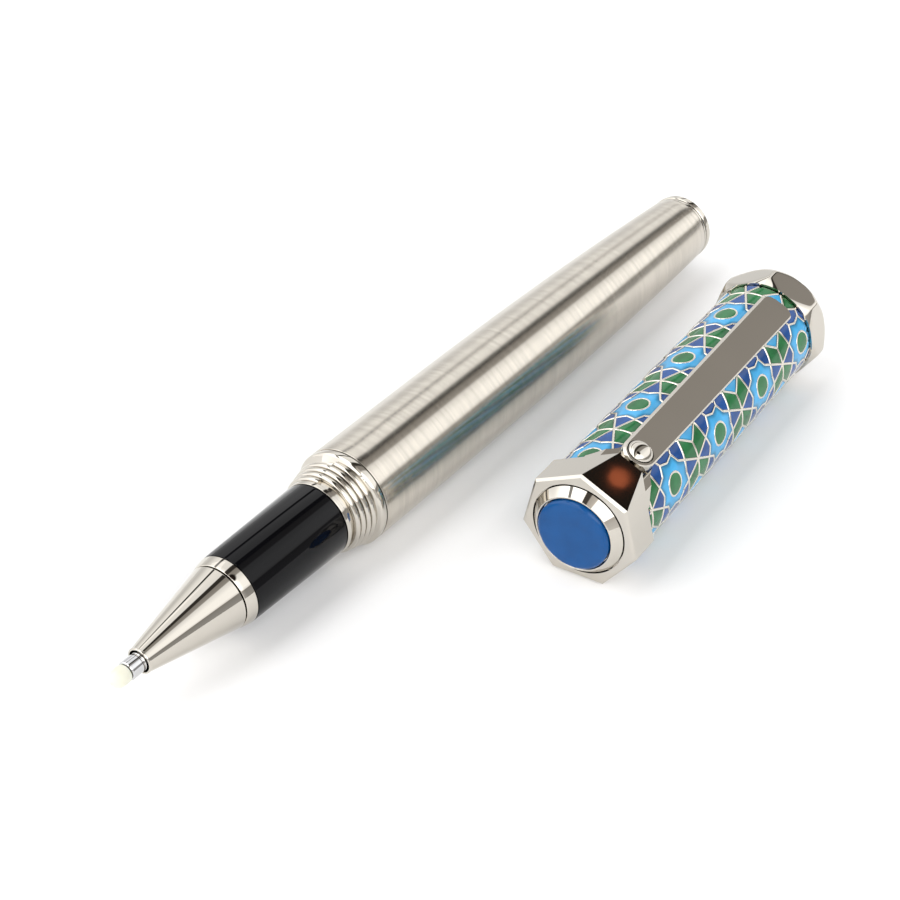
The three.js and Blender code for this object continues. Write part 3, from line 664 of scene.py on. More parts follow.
class PEN_OT_nose(bpy.types.Operator):
    """Polished nose cone with its rolled lip, and the band behind it"""

    bl_idname = "pen.nose"
    bl_label = "Nose cone and band"
    bl_options = {"REGISTER", "UNDO"}

    def execute(self, context):
        s = pen()
        tip, back = -s.section, -s.section + s.nose
        lip = arc((tip + 0.16, s.nose_front - 0.03), 0.17, 200, 60, 6)
        outside = lip + [(back - 0.1, s.nose_back - 0.02), (back, s.nose_back - 0.1)]
        spigot, pocket, mouth = 3.5, 1.945, 1.27
        inside = [(back, spigot), (back + 4, spigot), (back + 4, CORE_BORE), (tip + 12.15, CORE_BORE),
                  (tip + 12.15, pocket), (tip + 8.4, pocket), (tip + 8.4, mouth), (tip + 0.5, mouth)]
        cone = turned("nose_cone_polished", outside + inside, PEN, 0.03)
        dress(cone, "section", "polished_metal", plating(), "nose_cone")
        front = back + s.seam
        end = back + s.band
        profile = [(front, s.nose_back + 0.02), (front + 0.5, s.nose_back + 0.16), (end, s.grip_front + 0.03),
                   (end, 3.6), (front, 3.6)]
        ring = turned("nose_band_polished", profile, PEN, 0.08)
        dress(ring, "section", "polished_metal", plating(), "nose_band")
        return {"FINISHED"}


class PEN_OT_grip(bpy.types.Operator):
    """Glossy black grip sleeve"""

    bl_idname = "pen.grip"
    bl_label = "Grip"
    bl_options = {"REGISTER", "UNDO"}

    def execute(self, context):
        s = pen()
        front, back = core_front(), -s.collar - s.seam
        profile = [(front, s.grip_front), (back, s.grip_back), (back, SLEEVE_BORE), (front, SLEEVE_BORE)]
        sleeve = turned("grip_lacquered", profile, PEN, 0.12)
        black = once(lacquer, "black_lacquer", colors().grip)
        dress(sleeve, "section", "black_lacquer", black, "grip_sleeve")
        return {"FINISHED"}


def ridge_tree(name, radius_start, radius_end, start, end, turns, thick, material):
    """A helical ridge about X whose radius may grow, from a spiral and a round section."""
    tree = Tree(name, start=start, end=end, first_radius=radius_start, last_radius=radius_end,
                turns=float(turns), thickness=thick, material=material)
    line = tree.add("GeometryNodeCurvePrimitiveLine", End=(1, 0, 0))
    fine = tree.add("GeometryNodeResampleCurve", Curve=line, Count=int(turns * 72) + 1)
    share = tree.add("GeometryNodeSplineParameter").outputs["Factor"]
    angle = tree.math("MULTIPLY", share, tree.math("MULTIPLY", tree.value("turns"), 2 * math.pi))
    growth = tree.math("SUBTRACT", tree.value("last_radius"), tree.value("first_radius"))
    radius = tree.math("ADD", tree.value("first_radius"), tree.math("MULTIPLY", share, growth))
    run = tree.math("SUBTRACT", tree.value("end"), tree.value("start"))
    x = tree.math("ADD", tree.value("start"), tree.math("MULTIPLY", share, run))
    y = tree.math("MULTIPLY", radius, tree.math("SINE", angle))
    z = tree.math("MULTIPLY", radius, tree.math("COSINE", angle))
    point = tree.add("ShaderNodeCombineXYZ", X=x, Y=y, Z=z)
    spiral = tree.add("GeometryNodeSetPosition", Geometry=fine, Position=point)
    section = tree.add("GeometryNodeCurvePrimitiveCircle", Radius=tree.value("thickness"), Resolution=12)
    swept = tree.add("GeometryNodeCurveToMesh", Curve=spiral, Profile_Curve=section, Fill_Caps=True)
    real = tree.add("GeometryNodeRealizeInstances", Geometry=swept)
    return tree, tree.add("GeometryNodeSetMaterial", Geometry=real, Material=tree.value("material"))


def spiral_piece(name, place, *values):
    obj = link(name, bpy.data.meshes.new(name))
    tree, result = ridge_tree(name + "_nodes", *values)
    tree.bake(obj, result)
    place_mesh(obj, place)
    tidy_mesh(obj.data)
    return obj


class PEN_OT_thread_collar(bpy.types.Operator):
    """Polished collar whose helical cap thread grows towards the barrel"""

    bl_idname = "pen.thread_collar"
    bl_label = "Thread collar"
    bl_options = {"REGISTER", "UNDO"}

    def execute(self, context):
        s = pen()
        front = -s.collar
        big = s.barrel_radius
        profile = [(front, s.grip_back + 0.03), (front + 0.55, s.grip_back + 0.12),
                   (front + 0.75, s.grip_back - 0.2), (-1.75, 5.1), (-1.3, 5.3), (-0.95, big - 0.2),
                   (-0.75, big - 0.02), (-0.45, big), (0, big - 0.04), (0, SLEEVE_BORE), (front, SLEEVE_BORE)]
        collar = turned("thread_collar_polished", profile, PEN, 0.06)
        dress(collar, "section", "polished_metal", plating(), "thread_collar")
        ridge = spiral_piece("cap_thread_ridge", PEN, s.grip_back + 0.02, 5.5, front + 1.0, -1.45,
                             s.ridges, 0.38, plating())
        dress(ridge, "section", "polished_metal", plating())
        return {"FINISHED"}


class PEN_OT_barrel(bpy.types.Operator):
    """Brushed barrel with its quickening taper"""

    bl_idname = "pen.barrel"
    bl_label = "Barrel"
    bl_options = {"REGISTER", "UNDO"}

    def radius(self, x):
        s = pen()
        along = max(0.0, x - BARREL_STRAIGHT) / (s.barrel - BARREL_STRAIGHT)
        return s.barrel_radius - s.taper * along ** BARREL_QUICKENING

    def execute(self, context):
        s = pen()
        stations = [s.seam + (s.barrel - s.seam) * i / 40 for i in range(41)]
        outside = [(x, self.radius(x)) for x in stations]
        inside = [(x, self.radius(x) - BARREL_WALL) for x in reversed(stations[::4])]
        shell = turned("barrel_brushed", outside + inside, PEN, 0.1)
        material = once(brushed_metal, "brushed_metal", colors().brushed)
        dress(shell, "barrel", "brushed_metal", material, "barrel_shell")
        return {"FINISHED"}


class PEN_OT_tail(bpy.types.Operator):
    """Tail ring and domed tail cap with its stem"""

    bl_idname = "pen.tail"
    bl_label = "Tail"
    bl_options = {"REGISTER", "UNDO"}

    def execute(self, context):
        s = pen()
        edge = s.barrel_radius - s.taper
        start = s.barrel + s.seam
        section = tube_profile(start, start + TAIL_RING_LENGTH, edge - 0.08, TAIL_BORE)
        dress(turned("tail_ring_polished", section, PEN, 0.04), "barrel", "polished_metal", plating(),
              "tail_ring")
        front = start + TAIL_RING_LENGTH + s.seam
        back = front + 1.1
        stem, rise, rounding = s.barrel - 2.6, 0.75, 0.25
        profile = [(stem, 0), (stem, TAIL_STEM), (front, TAIL_STEM), (front, edge - 0.1),
                   (front + 0.12, edge), (back - rounding, edge - 0.03),
                   *dome(back, rise, edge - rounding, 10), (back + rise, 0)]
        button = turned("tail_cap_polished", profile, PEN, 0.06)
        dress(button, "barrel", "polished_metal", plating(), "tail_cap")
        return {"FINISHED"}


class PEN_OT_writing_tip(bpy.types.Operator):
    """Metal writing tip, its ball and the wax that seals it"""

    bl_idname = "pen.writing_tip"
    bl_label = "Writing tip"
    bl_options = {"REGISTER", "UNDO"}

    def execute(self, context):
        tube = tip_front()
        ball = tube - TIP_CONE
        mouth, groove, end = ball - 0.08, tube + 1.6, refill_front() - 1
        cone = [(mouth, 0.5), (tube, 0.75), (tube + 0.02, 1.04), (tube + 0.14, TIP_RADIUS)]
        crimp = [(groove, TIP_RADIUS), (groove + 0.08, 1.12), (groove + 0.3, 1.12),
                 (groove + 0.38, TIP_RADIUS)]
        channel = [(end, TIP_RADIUS), (end, 0.5), (ball + 1, BALL_RADIUS), (ball + 0.41, 0.2)]
        socket = [(ball + 0.25, 0.41), (mouth, 0.41)]
        tip = turned("writing_tip_steel", cone + crimp + channel + socket, PEN, 0.03, 64)
        dress(tip, "refill", "steel", once(polished_metal, "polished_steel", colors().steel), "refill_tip")
        sphere = turned("writing_ball_fine", arc((ball, 0), BALL_RADIUS, 180, 0, 16), PEN, 0, 48)
        dress(sphere, "ball", "steel", steel(), "writing_ball")
        back = tube - 0.1
        front = back - WAX_LENGTH
        belly = front + WAX_RADIUS
        outside = arc((belly, 0), WAX_RADIUS, 180, 90, 12)
        outside += [(back - 0.45, 1.085), (back - 0.1, 1.05), (back, 0.98)]
        inside = [(back, 0.85), (ball - 0.1, 0.6), (front + 0.35, 0.3), (front + 0.35, 0)]
        wax = turned("tip_wax_bead", outside + inside, PEN, 0.04, 64)
        dress(wax, "seal", "wax", once(sealing_wax, "sealing_wax", colors().wax), "tip_wax")
        return {"FINISHED"}


class PEN_OT_refill(bpy.types.Operator):
    """Refill: its nose, metal tube, ink fibre and plug"""

    bl_idname = "pen.refill"
    bl_label = "Refill"
    bl_options = {"REGISTER", "UNDO"}

    def groove(self, start):
        """A crimped groove round the tube."""
        return [(start, REFILL_RADIUS), (start + 0.15, GROOVE_RADIUS), (start + 0.6, GROOVE_RADIUS),
                (start + 0.75, REFILL_RADIUS)]

    def execute(self, context):
        shoulder, front = tip_front() + TIP_TO_SHOULDER + 0.15, refill_front()
        back = pen().barrel - REFILL_BACK
        neck, bore, ink = 1.795, 1.265, 0.765
        nose = [(shoulder, neck), (front - 0.1, neck), (front - 0.1, REFILL_RADIUS),
                (front + 0.9, REFILL_RADIUS), (front + 0.9, REFILL_INSIDE), (front + 5, REFILL_INSIDE),
                (front + 5, ink), (front - 0.9, ink), (front - 0.9, bore), (shoulder, bore)]
        dress(turned("refill_nose_moulded", nose, PEN, 0.08, 96), "refill", "black_plastic", black_plastic(),
              "refill_nose")
        start, end, wall = front + 1.05, back - 1.15, 0.4
        outside = [(start, REFILL_RADIUS), *self.groove(start + 6), *self.groove(end - 3),
                   (end, REFILL_RADIUS)]
        inside = [(end, REFILL_RADIUS - wall), (start, REFILL_RADIUS - wall)]
        tube = turned("refill_tube_drawn", outside + inside, PEN, 0.06, 96)
        dress(tube, "refill", "steel", steel(), "refill_tube")
        rod = [(front + 5.3, 0), (front + 5.3, 2.35), (back - 9, 2.35), (back - 9, 0)]
        fibre = once(plastic, "ink_fibre", (0.012, 0.02, 0.11), 0.9, 5000)
        dress(turned("ink_reservoir_fibre", rod, PEN, 0.1, 64), "refill", "ink_fibre", fibre, "ink_reservoir")
        end_plug = [(back - 6, 0), (back - 6, REFILL_INSIDE), (back - 1, REFILL_INSIDE),
                    (back - 1, REFILL_RADIUS), (back - 0.3, REFILL_RADIUS), (back, 2.55), (back, 1.2),
                    (back - 0.5, 1.0), (back - 0.5, 0)]
        plug = turned("refill_plug_moulded", end_plug, PEN, 0.08, 96)
        dress(plug, "refill", "black_plastic", black_plastic(), "refill_plug")
        return {"FINISHED"}


class PEN_OT_section_core(bpy.types.Operator):
    """Brass core of the section with the barrel's thread, and its seal"""

    bl_idname = "pen.section_core"
    bl_label = "Section core"
    bl_options = {"REGISTER", "UNDO"}

    def execute(self, context):
        s = pen()
        front, thread = core_front(), s.seam + CORE_THREAD
        back, skin, crest, pocket = thread + 6.5, 3.95, 4.05, 3.6
        profile = [(front, skin), (thread, skin), (thread + 0.15, crest), (back - 1.6, crest),
                   (back - 1.4, skin), (back, skin), (back, CORE_BORE), (front + 2.5, CORE_BORE),
                   (front + 2.5, pocket), (front, pocket)]
        dress(turned("grip_core_turned", profile, PEN, 0.08), "section", "brass", brass(), "grip_core")
        ridge = spiral_piece("barrel_thread_ridge", PEN, 4.04, 4.04, thread + 0.35, thread + 4.85,
                             6, 0.22, brass())
        dress(ridge, "section", "brass", brass())
        rubber = once(plastic, "seal_rubber", (0.02, 0.02, 0.02), 0.8, 900)
        ring = arc((s.seam + 0.575, 4.375), 0.32, 360, 22, 15)
        dress(turned("section_seal_ring", ring, PEN, 0), "section", "rubber", rubber, "section_o_ring")
        return {"FINISHED"}


class PEN_OT_barrel_inside(bpy.types.Operator):
    """Threaded insert, spring seat and refill spring inside the barrel"""

    bl_idname = "pen.barrel_inside"
    bl_label = "Inside of the barrel"
    bl_options = {"REGISTER", "UNDO"}

    def execute(self, context):
        s = pen()
        front, seat_front = s.seam + CORE_THREAD, s.barrel - SEAT_LENGTH
        insert = turned("barrel_insert_turned", tube_profile(front, front + 7.5, 5.45, 4.45), PEN, 0.1)
        dress(insert, "barrel", "brass", brass(), "barrel_insert")
        section = tube_profile(seat_front, s.barrel - s.seam, 3.79, TAIL_BORE)
        seat = turned("spring_seat_turned", section, PEN, 0.15)
        dress(seat, "barrel_screw", "brass", brass(), "spring_seat")
        start, end = s.barrel - REFILL_BACK + 1.2, seat_front - 0.4
        coil = spiral_piece("refill_spring_wound", PEN, 2.2, 2.2, start, end, 4, 0.25, steel())
        dress(coil, "barrel_carrier", "steel", steel(), "refill_spring")
        return {"FINISHED"}


# ---------------------------------------------------------------- the cap

FACETS = 7
CROWN_CHAMFER = 0.3
BEZEL_RADIUS = 5.9
BEZEL_HEIGHT = 1.15
SHELF_HALF_WIDTH = 1.85  # plate below the clip's root
SHELF_BACK = 4.5  # crown's back to the end of that plate
SWEEP_SHARE = 0.78  # half width of the sweep's start, as a share of the crown's flats
LINER_BORE = 6.05
SCREW_HOLE = 1.35
CLIP_COLLAR = 2.12  # radius of the clip's round end about its stud
CLIP_WIDEST = 2.3  # half width at its tip
CLIP_ROUNDING = 1.3
CLIP_FILLET = 0.002  # keeps the end sections of the clip from closing to a point
STUD_DOME = 0.85


def corner(inradius):
    return inradius / math.cos(math.pi / FACETS)


def seven(start, end, inradius, chamfer=0.0):
    """A seven-sided prism about X with a flat under the clip."""
    profile = [(start, 0), (start, corner(inradius - chamfer)), (start + chamfer, corner(inradius)),
               (end, corner(inradius)), (end, 0)]
    if not chamfer:
        del profile[2]
    verts, faces = lathe(profile, FACETS)
    half = math.pi / FACETS
    verts = [(x, y * math.cos(half) + z * math.sin(half), z * math.cos(half) - y * math.sin(half))
             for x, y, z in verts]
    return mesh_object("prism", verts, faces)


def block(start, end, half_width, low, high):
    outline = [(start, -half_width), (end, -half_width), (end, half_width), (start, half_width)]
    return prism(outline, low, high)


class PEN_OT_crown(bpy.types.Operator):
    """Seven-sided polished crown with the ramp and the sweep that carry the clip"""

    bl_idname = "pen.crown"
    bl_label = "Crown"
    bl_options = {"REGISTER", "UNDO"}

    def ramp(self, end):
        flat, top = cap().inradius, cap().clip_top
        slant = 2 * math.pi / FACETS
        start, foot, inset = CROWN_CHAMFER, BEZEL_RADIUS, 0.004
        points = []
        for x, z in ((start, flat), (end, top), (end, flat), (start, foot), (end, foot)):
            half = (flat - z * math.cos(slant)) / math.sin(slant) - inset
            points += [(x, -half, z), (x, half, z)]
        mesh = bpy.data.meshes.new("ramp")
        work = bmesh.new()
        for p in points:
            work.verts.new(p)
        bmesh.ops.convex_hull(work, input=work.verts)
        bmesh.ops.dissolve_limit(work, angle_limit=0.01, verts=work.verts, edges=work.edges)
        bmesh.ops.recalc_face_normals(work, faces=work.faces)
        work.to_mesh(mesh)
        work.free()
        return link("ramp", mesh)

    def sweep(self, back):
        """The outline whose curved sides carry the crown's flats back beside the clip."""
        wing, root, steps = cap().inradius * SWEEP_SHARE, 1, 12
        start, bend, end = (back - 0.05, wing), (back + 1.0, 3.3), (back + 3, SHELF_HALF_WIDTH + 0.5)
        side = []
        for i in range(steps + 1):
            t = i / steps
            side.append([a * (1 - t) ** 2 + b * 2 * t * (1 - t) + c * t ** 2
                         for a, b, c in zip(start, bend, end)])
        side.append((back + SHELF_BACK, SHELF_HALF_WIDTH))
        return [(root, wing), *side, *[(x, -y) for x, y in reversed(side)], (root, -wing)]

    def execute(self, context):
        s = cap()
        back, bottom, past = s.crown, 2, s.crown + 6
        body = seven(0, back, s.inradius, CROWN_CHAMFER)
        flats = seven(0.5, back + SHELF_BACK, s.inradius)
        combine(flats, prism(self.sweep(back), bottom, 9), "INTERSECT")
        combine(body, flats, "UNION")
        shelf = block(3.2, back + SHELF_BACK, SHELF_HALF_WIDTH, bottom, s.clip_top - s.clip_thick - 0.3)
        combine(body, shelf, "UNION")
        combine(body, self.ramp(back + 0.05), "UNION")
        setting = BEZEL_RADIUS + s.seam
        combine(body, cutter([(-1, 0), (-1, setting), (1.2, setting), (1.2, 0)]), "DIFFERENCE")
        bore = s.tube + s.seam
        socket = [(3.1, 0), (3.1, 6.5), (back, 6.5), (back, bore), (past, bore), (past, 0)]
        combine(body, cutter(socket), "DIFFERENCE")
        combine(body, cutter([(0, 0), (0, SCREW_HOLE), (3.5, SCREW_HOLE), (3.5, 0)], 48), "DIFFERENCE")
        bevel(body, 0.13, 3, 24)
        place_mesh(body, CAP)
        body.name = "crown_polished"
        dress(body, "cap", "polished_metal", plating(), "cap_crown")
        return {"FINISHED"}


class PEN_OT_stone(bpy.types.Operator):
    """Bevelled bezel and the smooth blue disc that it holds"""

    bl_idname = "pen.stone"
    bl_label = "Bezel and stone"
    bl_options = {"REGISTER", "UNDO"}

    def execute(self, context):
        face, seat, floor, depth = -BEZEL_HEIGHT, 4.75, -0.25, 1.05
        profile = [(floor, 0), (floor, seat), (face + 0.1, seat), (face, 4.86), (face + 0.02, 5.0),
                   (-0.05, BEZEL_RADIUS - 0.02), (0.1, BEZEL_RADIUS), (depth, BEZEL_RADIUS), (depth, 0)]
        dress(turned("crown_bezel_polished", profile, CAP, 0.04), "cap", "polished_metal", plating(),
              "crown_bezel")
        rim, back, level = face - 0.05, -0.4, 3.95
        rounding = arc((rim, level), (0.42, 0.68), 180, 90)
        profile = [(rim - 0.45, 0), (rim - 0.44, 2.4), *rounding, (back, 4.63), (back, 0)]
        stone = turned("crown_stone_smooth", profile, CAP, 0)
        material = once(glaze, "blue_stone", colors().stone, darker(colors().stone, 0.8))
        dress(stone, "cap", "blue_stone", material, "crown_stone")
        return {"FINISHED"}


class PEN_OT_lip_ring(bpy.types.Operator):
    """Seven-sided lip ring, chamfered at both faces like a nut"""

    bl_idname = "pen.lip_ring"
    bl_label = "Lip ring"
    bl_options = {"REGISTER", "UNDO"}

    def outside(self, x, angle):
        """Radius of seven flats cut by the two chamfer cones, with softly rounded edges."""
        s = cap()
        sharpness, chamfer = 90, 1.3
        depth = min(x - (s.length - s.lip), s.length - x)
        face, full = s.lip_inradius + 0.05, corner(s.lip_inradius) + 0.02
        cone = face + (full - face) * depth / chamfer
        total = cone ** -sharpness
        for k in range(FACETS):
            facing = math.cos(angle - 2 * math.pi * k / FACETS)
            if facing > 0.5:
                total += (facing / s.lip_inradius) ** sharpness
        return total ** (-1 / sharpness)

    def execute(self, context):
        s = cap()
        steps = 44
        start, around = s.length - s.lip, FACETS * steps
        stations = [start + s.lip * (0.5 - 0.5 * math.cos(math.pi * i / steps)) for i in range(steps + 1)]
        rings = [[(x, self.outside(x, 2 * math.pi * k / around)) for k in range(around)] for x in stations]
        for x, r in ((s.length, 6.75), (s.length - 0.12, 6.6), (s.length - 0.6, 6.12), (start, 6.1)):
            rings.append([(x, r)] * around)
        verts = [(x, r * math.sin(2 * math.pi * k / around), r * math.cos(2 * math.pi * k / around))
                 for ring in rings for k, (x, r) in enumerate(ring)]
        faces = strips(len(rings), around)
        last = len(verts) - around
        faces += [[last + k, last + (k + 1) % around, (k + 1) % around, k] for k in range(around)]
        ring = mesh_object("lip_ring_polished", verts, faces, CAP)
        dress(ring, "cap", "polished_metal", plating(), "lip_ring")
        return {"FINISHED"}


class PEN_OT_clip(bpy.types.Operator):
    """Sprung strap with rounded tip, and the domed stud that holds it"""

    bl_idname = "pen.clip"
    bl_label = "Clip"
    bl_options = {"REGISTER", "UNDO"}

    def half_width(self, x):
        s = cap()
        if x < s.stud:
            return math.sqrt(max(0.0, CLIP_COLLAR ** 2 - (s.stud - x) ** 2))
        along = (x - s.stud) / (s.clip_end - s.stud)
        half = CLIP_COLLAR + (CLIP_WIDEST - CLIP_COLLAR) * along
        rest = s.clip_end - x
        if rest < CLIP_ROUNDING:
            half -= CLIP_ROUNDING - math.sqrt(max(0.0, CLIP_ROUNDING ** 2 - (CLIP_ROUNDING - rest) ** 2))
        return half

    def stations(self):
        """Places along the clip, closer together at its two round ends."""
        s = cap()
        places = [s.stud - CLIP_COLLAR * math.cos(math.pi / 2 * i / 12) for i in range(12)]
        places += [s.stud + (s.clip_end - CLIP_ROUNDING - s.stud) * i / 24 for i in range(25)]
        places += [s.clip_end - CLIP_ROUNDING * math.cos(math.pi / 2 * i / 8) for i in range(1, 9)]
        places[0] = s.stud - CLIP_COLLAR + CLIP_FILLET
        places[-1] = s.clip_end - CLIP_FILLET
        return places

    def section(self, x):
        """The strap's outline across it, with a broad eased edge on its left and a pad near its tip."""
        s = cap()
        along = max(0.0, (x - s.stud - 2) / (s.clip_end - s.stud - 2))
        top = s.clip_top - s.clip_drop * along - 0.012 * max(0.0, 2 - (s.clip_end - x)) ** 2
        pad = math.exp(-((x - s.clip_end + 2.2) / 1.1) ** 2) * 0.55
        low = top - s.clip_thick - pad
        half = self.half_width(x)
        edge, round_under = min(0.32, half * 0.4), 0.08
        return [(-half, low + round_under), (-half, top - 0.3), (-half + edge, top - 0.03),
                (-half + edge + 0.1, top), (half - 0.16, top), (half, top - 0.14), (half, low + round_under),
                (half - round_under, low), (-half + round_under, low)]

    def execute(self, context):
        s = cap()
        sections = [[(x, -y, z) for y, z in self.section(x)] for x in self.stations()]
        count = len(sections[0])
        verts = [point for section in sections for point in section]
        faces = strips(len(sections), count)
        faces += [list(range(count)), list(range(len(verts) - count, len(verts)))]
        strap = mesh_object("clip_strap_polished", verts, faces)
        reach, seat_radius = 3, s.stud_radius + 0.1
        seat = cutter([(-reach, 0), (-reach, seat_radius), (reach, seat_radius), (reach, 0)], 64)
        seat.data.transform(Matrix.Translation((s.stud, 0, 8.6)) @ Matrix.Rotation(math.pi / 2, 4, "Y"))
        combine(strap, seat, "DIFFERENCE")
        bevel(strap, 0.05, 2, 30)
        place_mesh(strap, CAP)
        dress(strap, "clip", "polished_metal", plating(), "clip_arm")
        rim, foot, head, shank = s.clip_top - 0.1, s.tube + s.seam, 7.85, 0.6
        profile = [(foot, 0), (foot, shank), (head, shank), (head, s.stud_radius),
                   *dome(rim, STUD_DOME, s.stud_radius, 12), (rim + STUD_DOME, 0)]
        verts, faces = lathe(eased(profile, 0.05), 64)
        stand = Matrix.Translation((s.stud, 0, 0)) @ Matrix.Rotation(-math.pi / 2, 4, "Y")
        stud = mesh_object("clip_stud_polished", verts, faces, CAP @ stand)
        dress(stud, "cap", "polished_metal", plating(), "clip_stud")
        return {"FINISHED"}


# ---------------------------------------------------------------- the enamel

GLAZES = {"sky": 0.72, "navy": 0.55, "green": 0.5}  # how dark each glaze's clouding is, and with it the painted shade at its cells' edges, as a share of its colour
COLUMNS = 6  # stars along the cap on each row, the last of them cut by its ends
FIRST_ROW = math.radians(-49)  # round the cap from the clip
BOSS_SIDES = 32
FORK = 2.3  # crossing between two stars to where its wire forks
BAND_FOOT = 5.1  # star's middle to the point where four bands meet
MERGE = 0.002


def star_points(pattern):
    """The 16 points of an eight-pointed star, from its right-hand notch round."""
    ring = []
    for k in range(16):
        a = math.pi * k / 8
        r = pattern.star if k % 2 else pattern.notch
        ring.append((r * math.cos(a), r * math.sin(a)))
    return ring


def enamel_cells(pattern, spacing):
    """One star's cells as (glaze, outline) and its wires as pairs of points, on the flat."""
    star = star_points(pattern)
    half = pattern.period / 2
    side, high = star[1], star[3]
    cross = (half, 0)
    fork = (half, FORK)
    outer, inner = (3.85, 3.95), (1.75, 4.1)
    peak, foot = (half, spacing - BAND_FOOT), (0, BAND_FOOT)

    def flip(points, u, v):
        return [(x * u, y * v) for x, y in points]

    def about_cross(points):
        return [(2 * half - x, y) for x, y in points]

    cells = [("sky", star)]
    wires = list(zip(star, star[1:] + star[:1]))
    petal = [cross, side, outer, fork]
    sky_kite = [fork, outer, peak, *about_cross([outer])]
    band = [inner, outer, peak, (half - inner[0], spacing - inner[1]),
            (half - outer[0], spacing - outer[1]), foot]
    for u in (1, -1):
        cells.append(("navy", flip([star[0], side, cross, (side[0], -side[1])], u, 1)))
        cells.append(("green", flip(band, u, 1)))
        for v in (1, -1):
            cells.append(("navy", flip([star[2], side, outer, inner, high], u, v)))
    leaf = [star[4], high, inner, foot, (-inner[0], inner[1]), (-high[0], high[1])]
    for v in (1, -1):
        cells.append(("navy", flip(leaf, 1, v)))
        cells.append(("sky", flip(sky_kite, 1, v)))
        for points in (petal, about_cross(petal)):
            cells.append(("green", flip(points, 1, v)))
        for points in ([cross, side], [outer, fork], [outer, peak]):
            wires.append(flip(points, 1, v))
            wires.append(flip(about_cross(points), 1, v))
        wires.append(flip([cross, fork], 1, v))
        for u in (1, -1):
            for points in ([side, outer], [high, inner], [inner, outer], [inner, foot]):
                wires.append(flip(points, u, v))
    return cells, wires


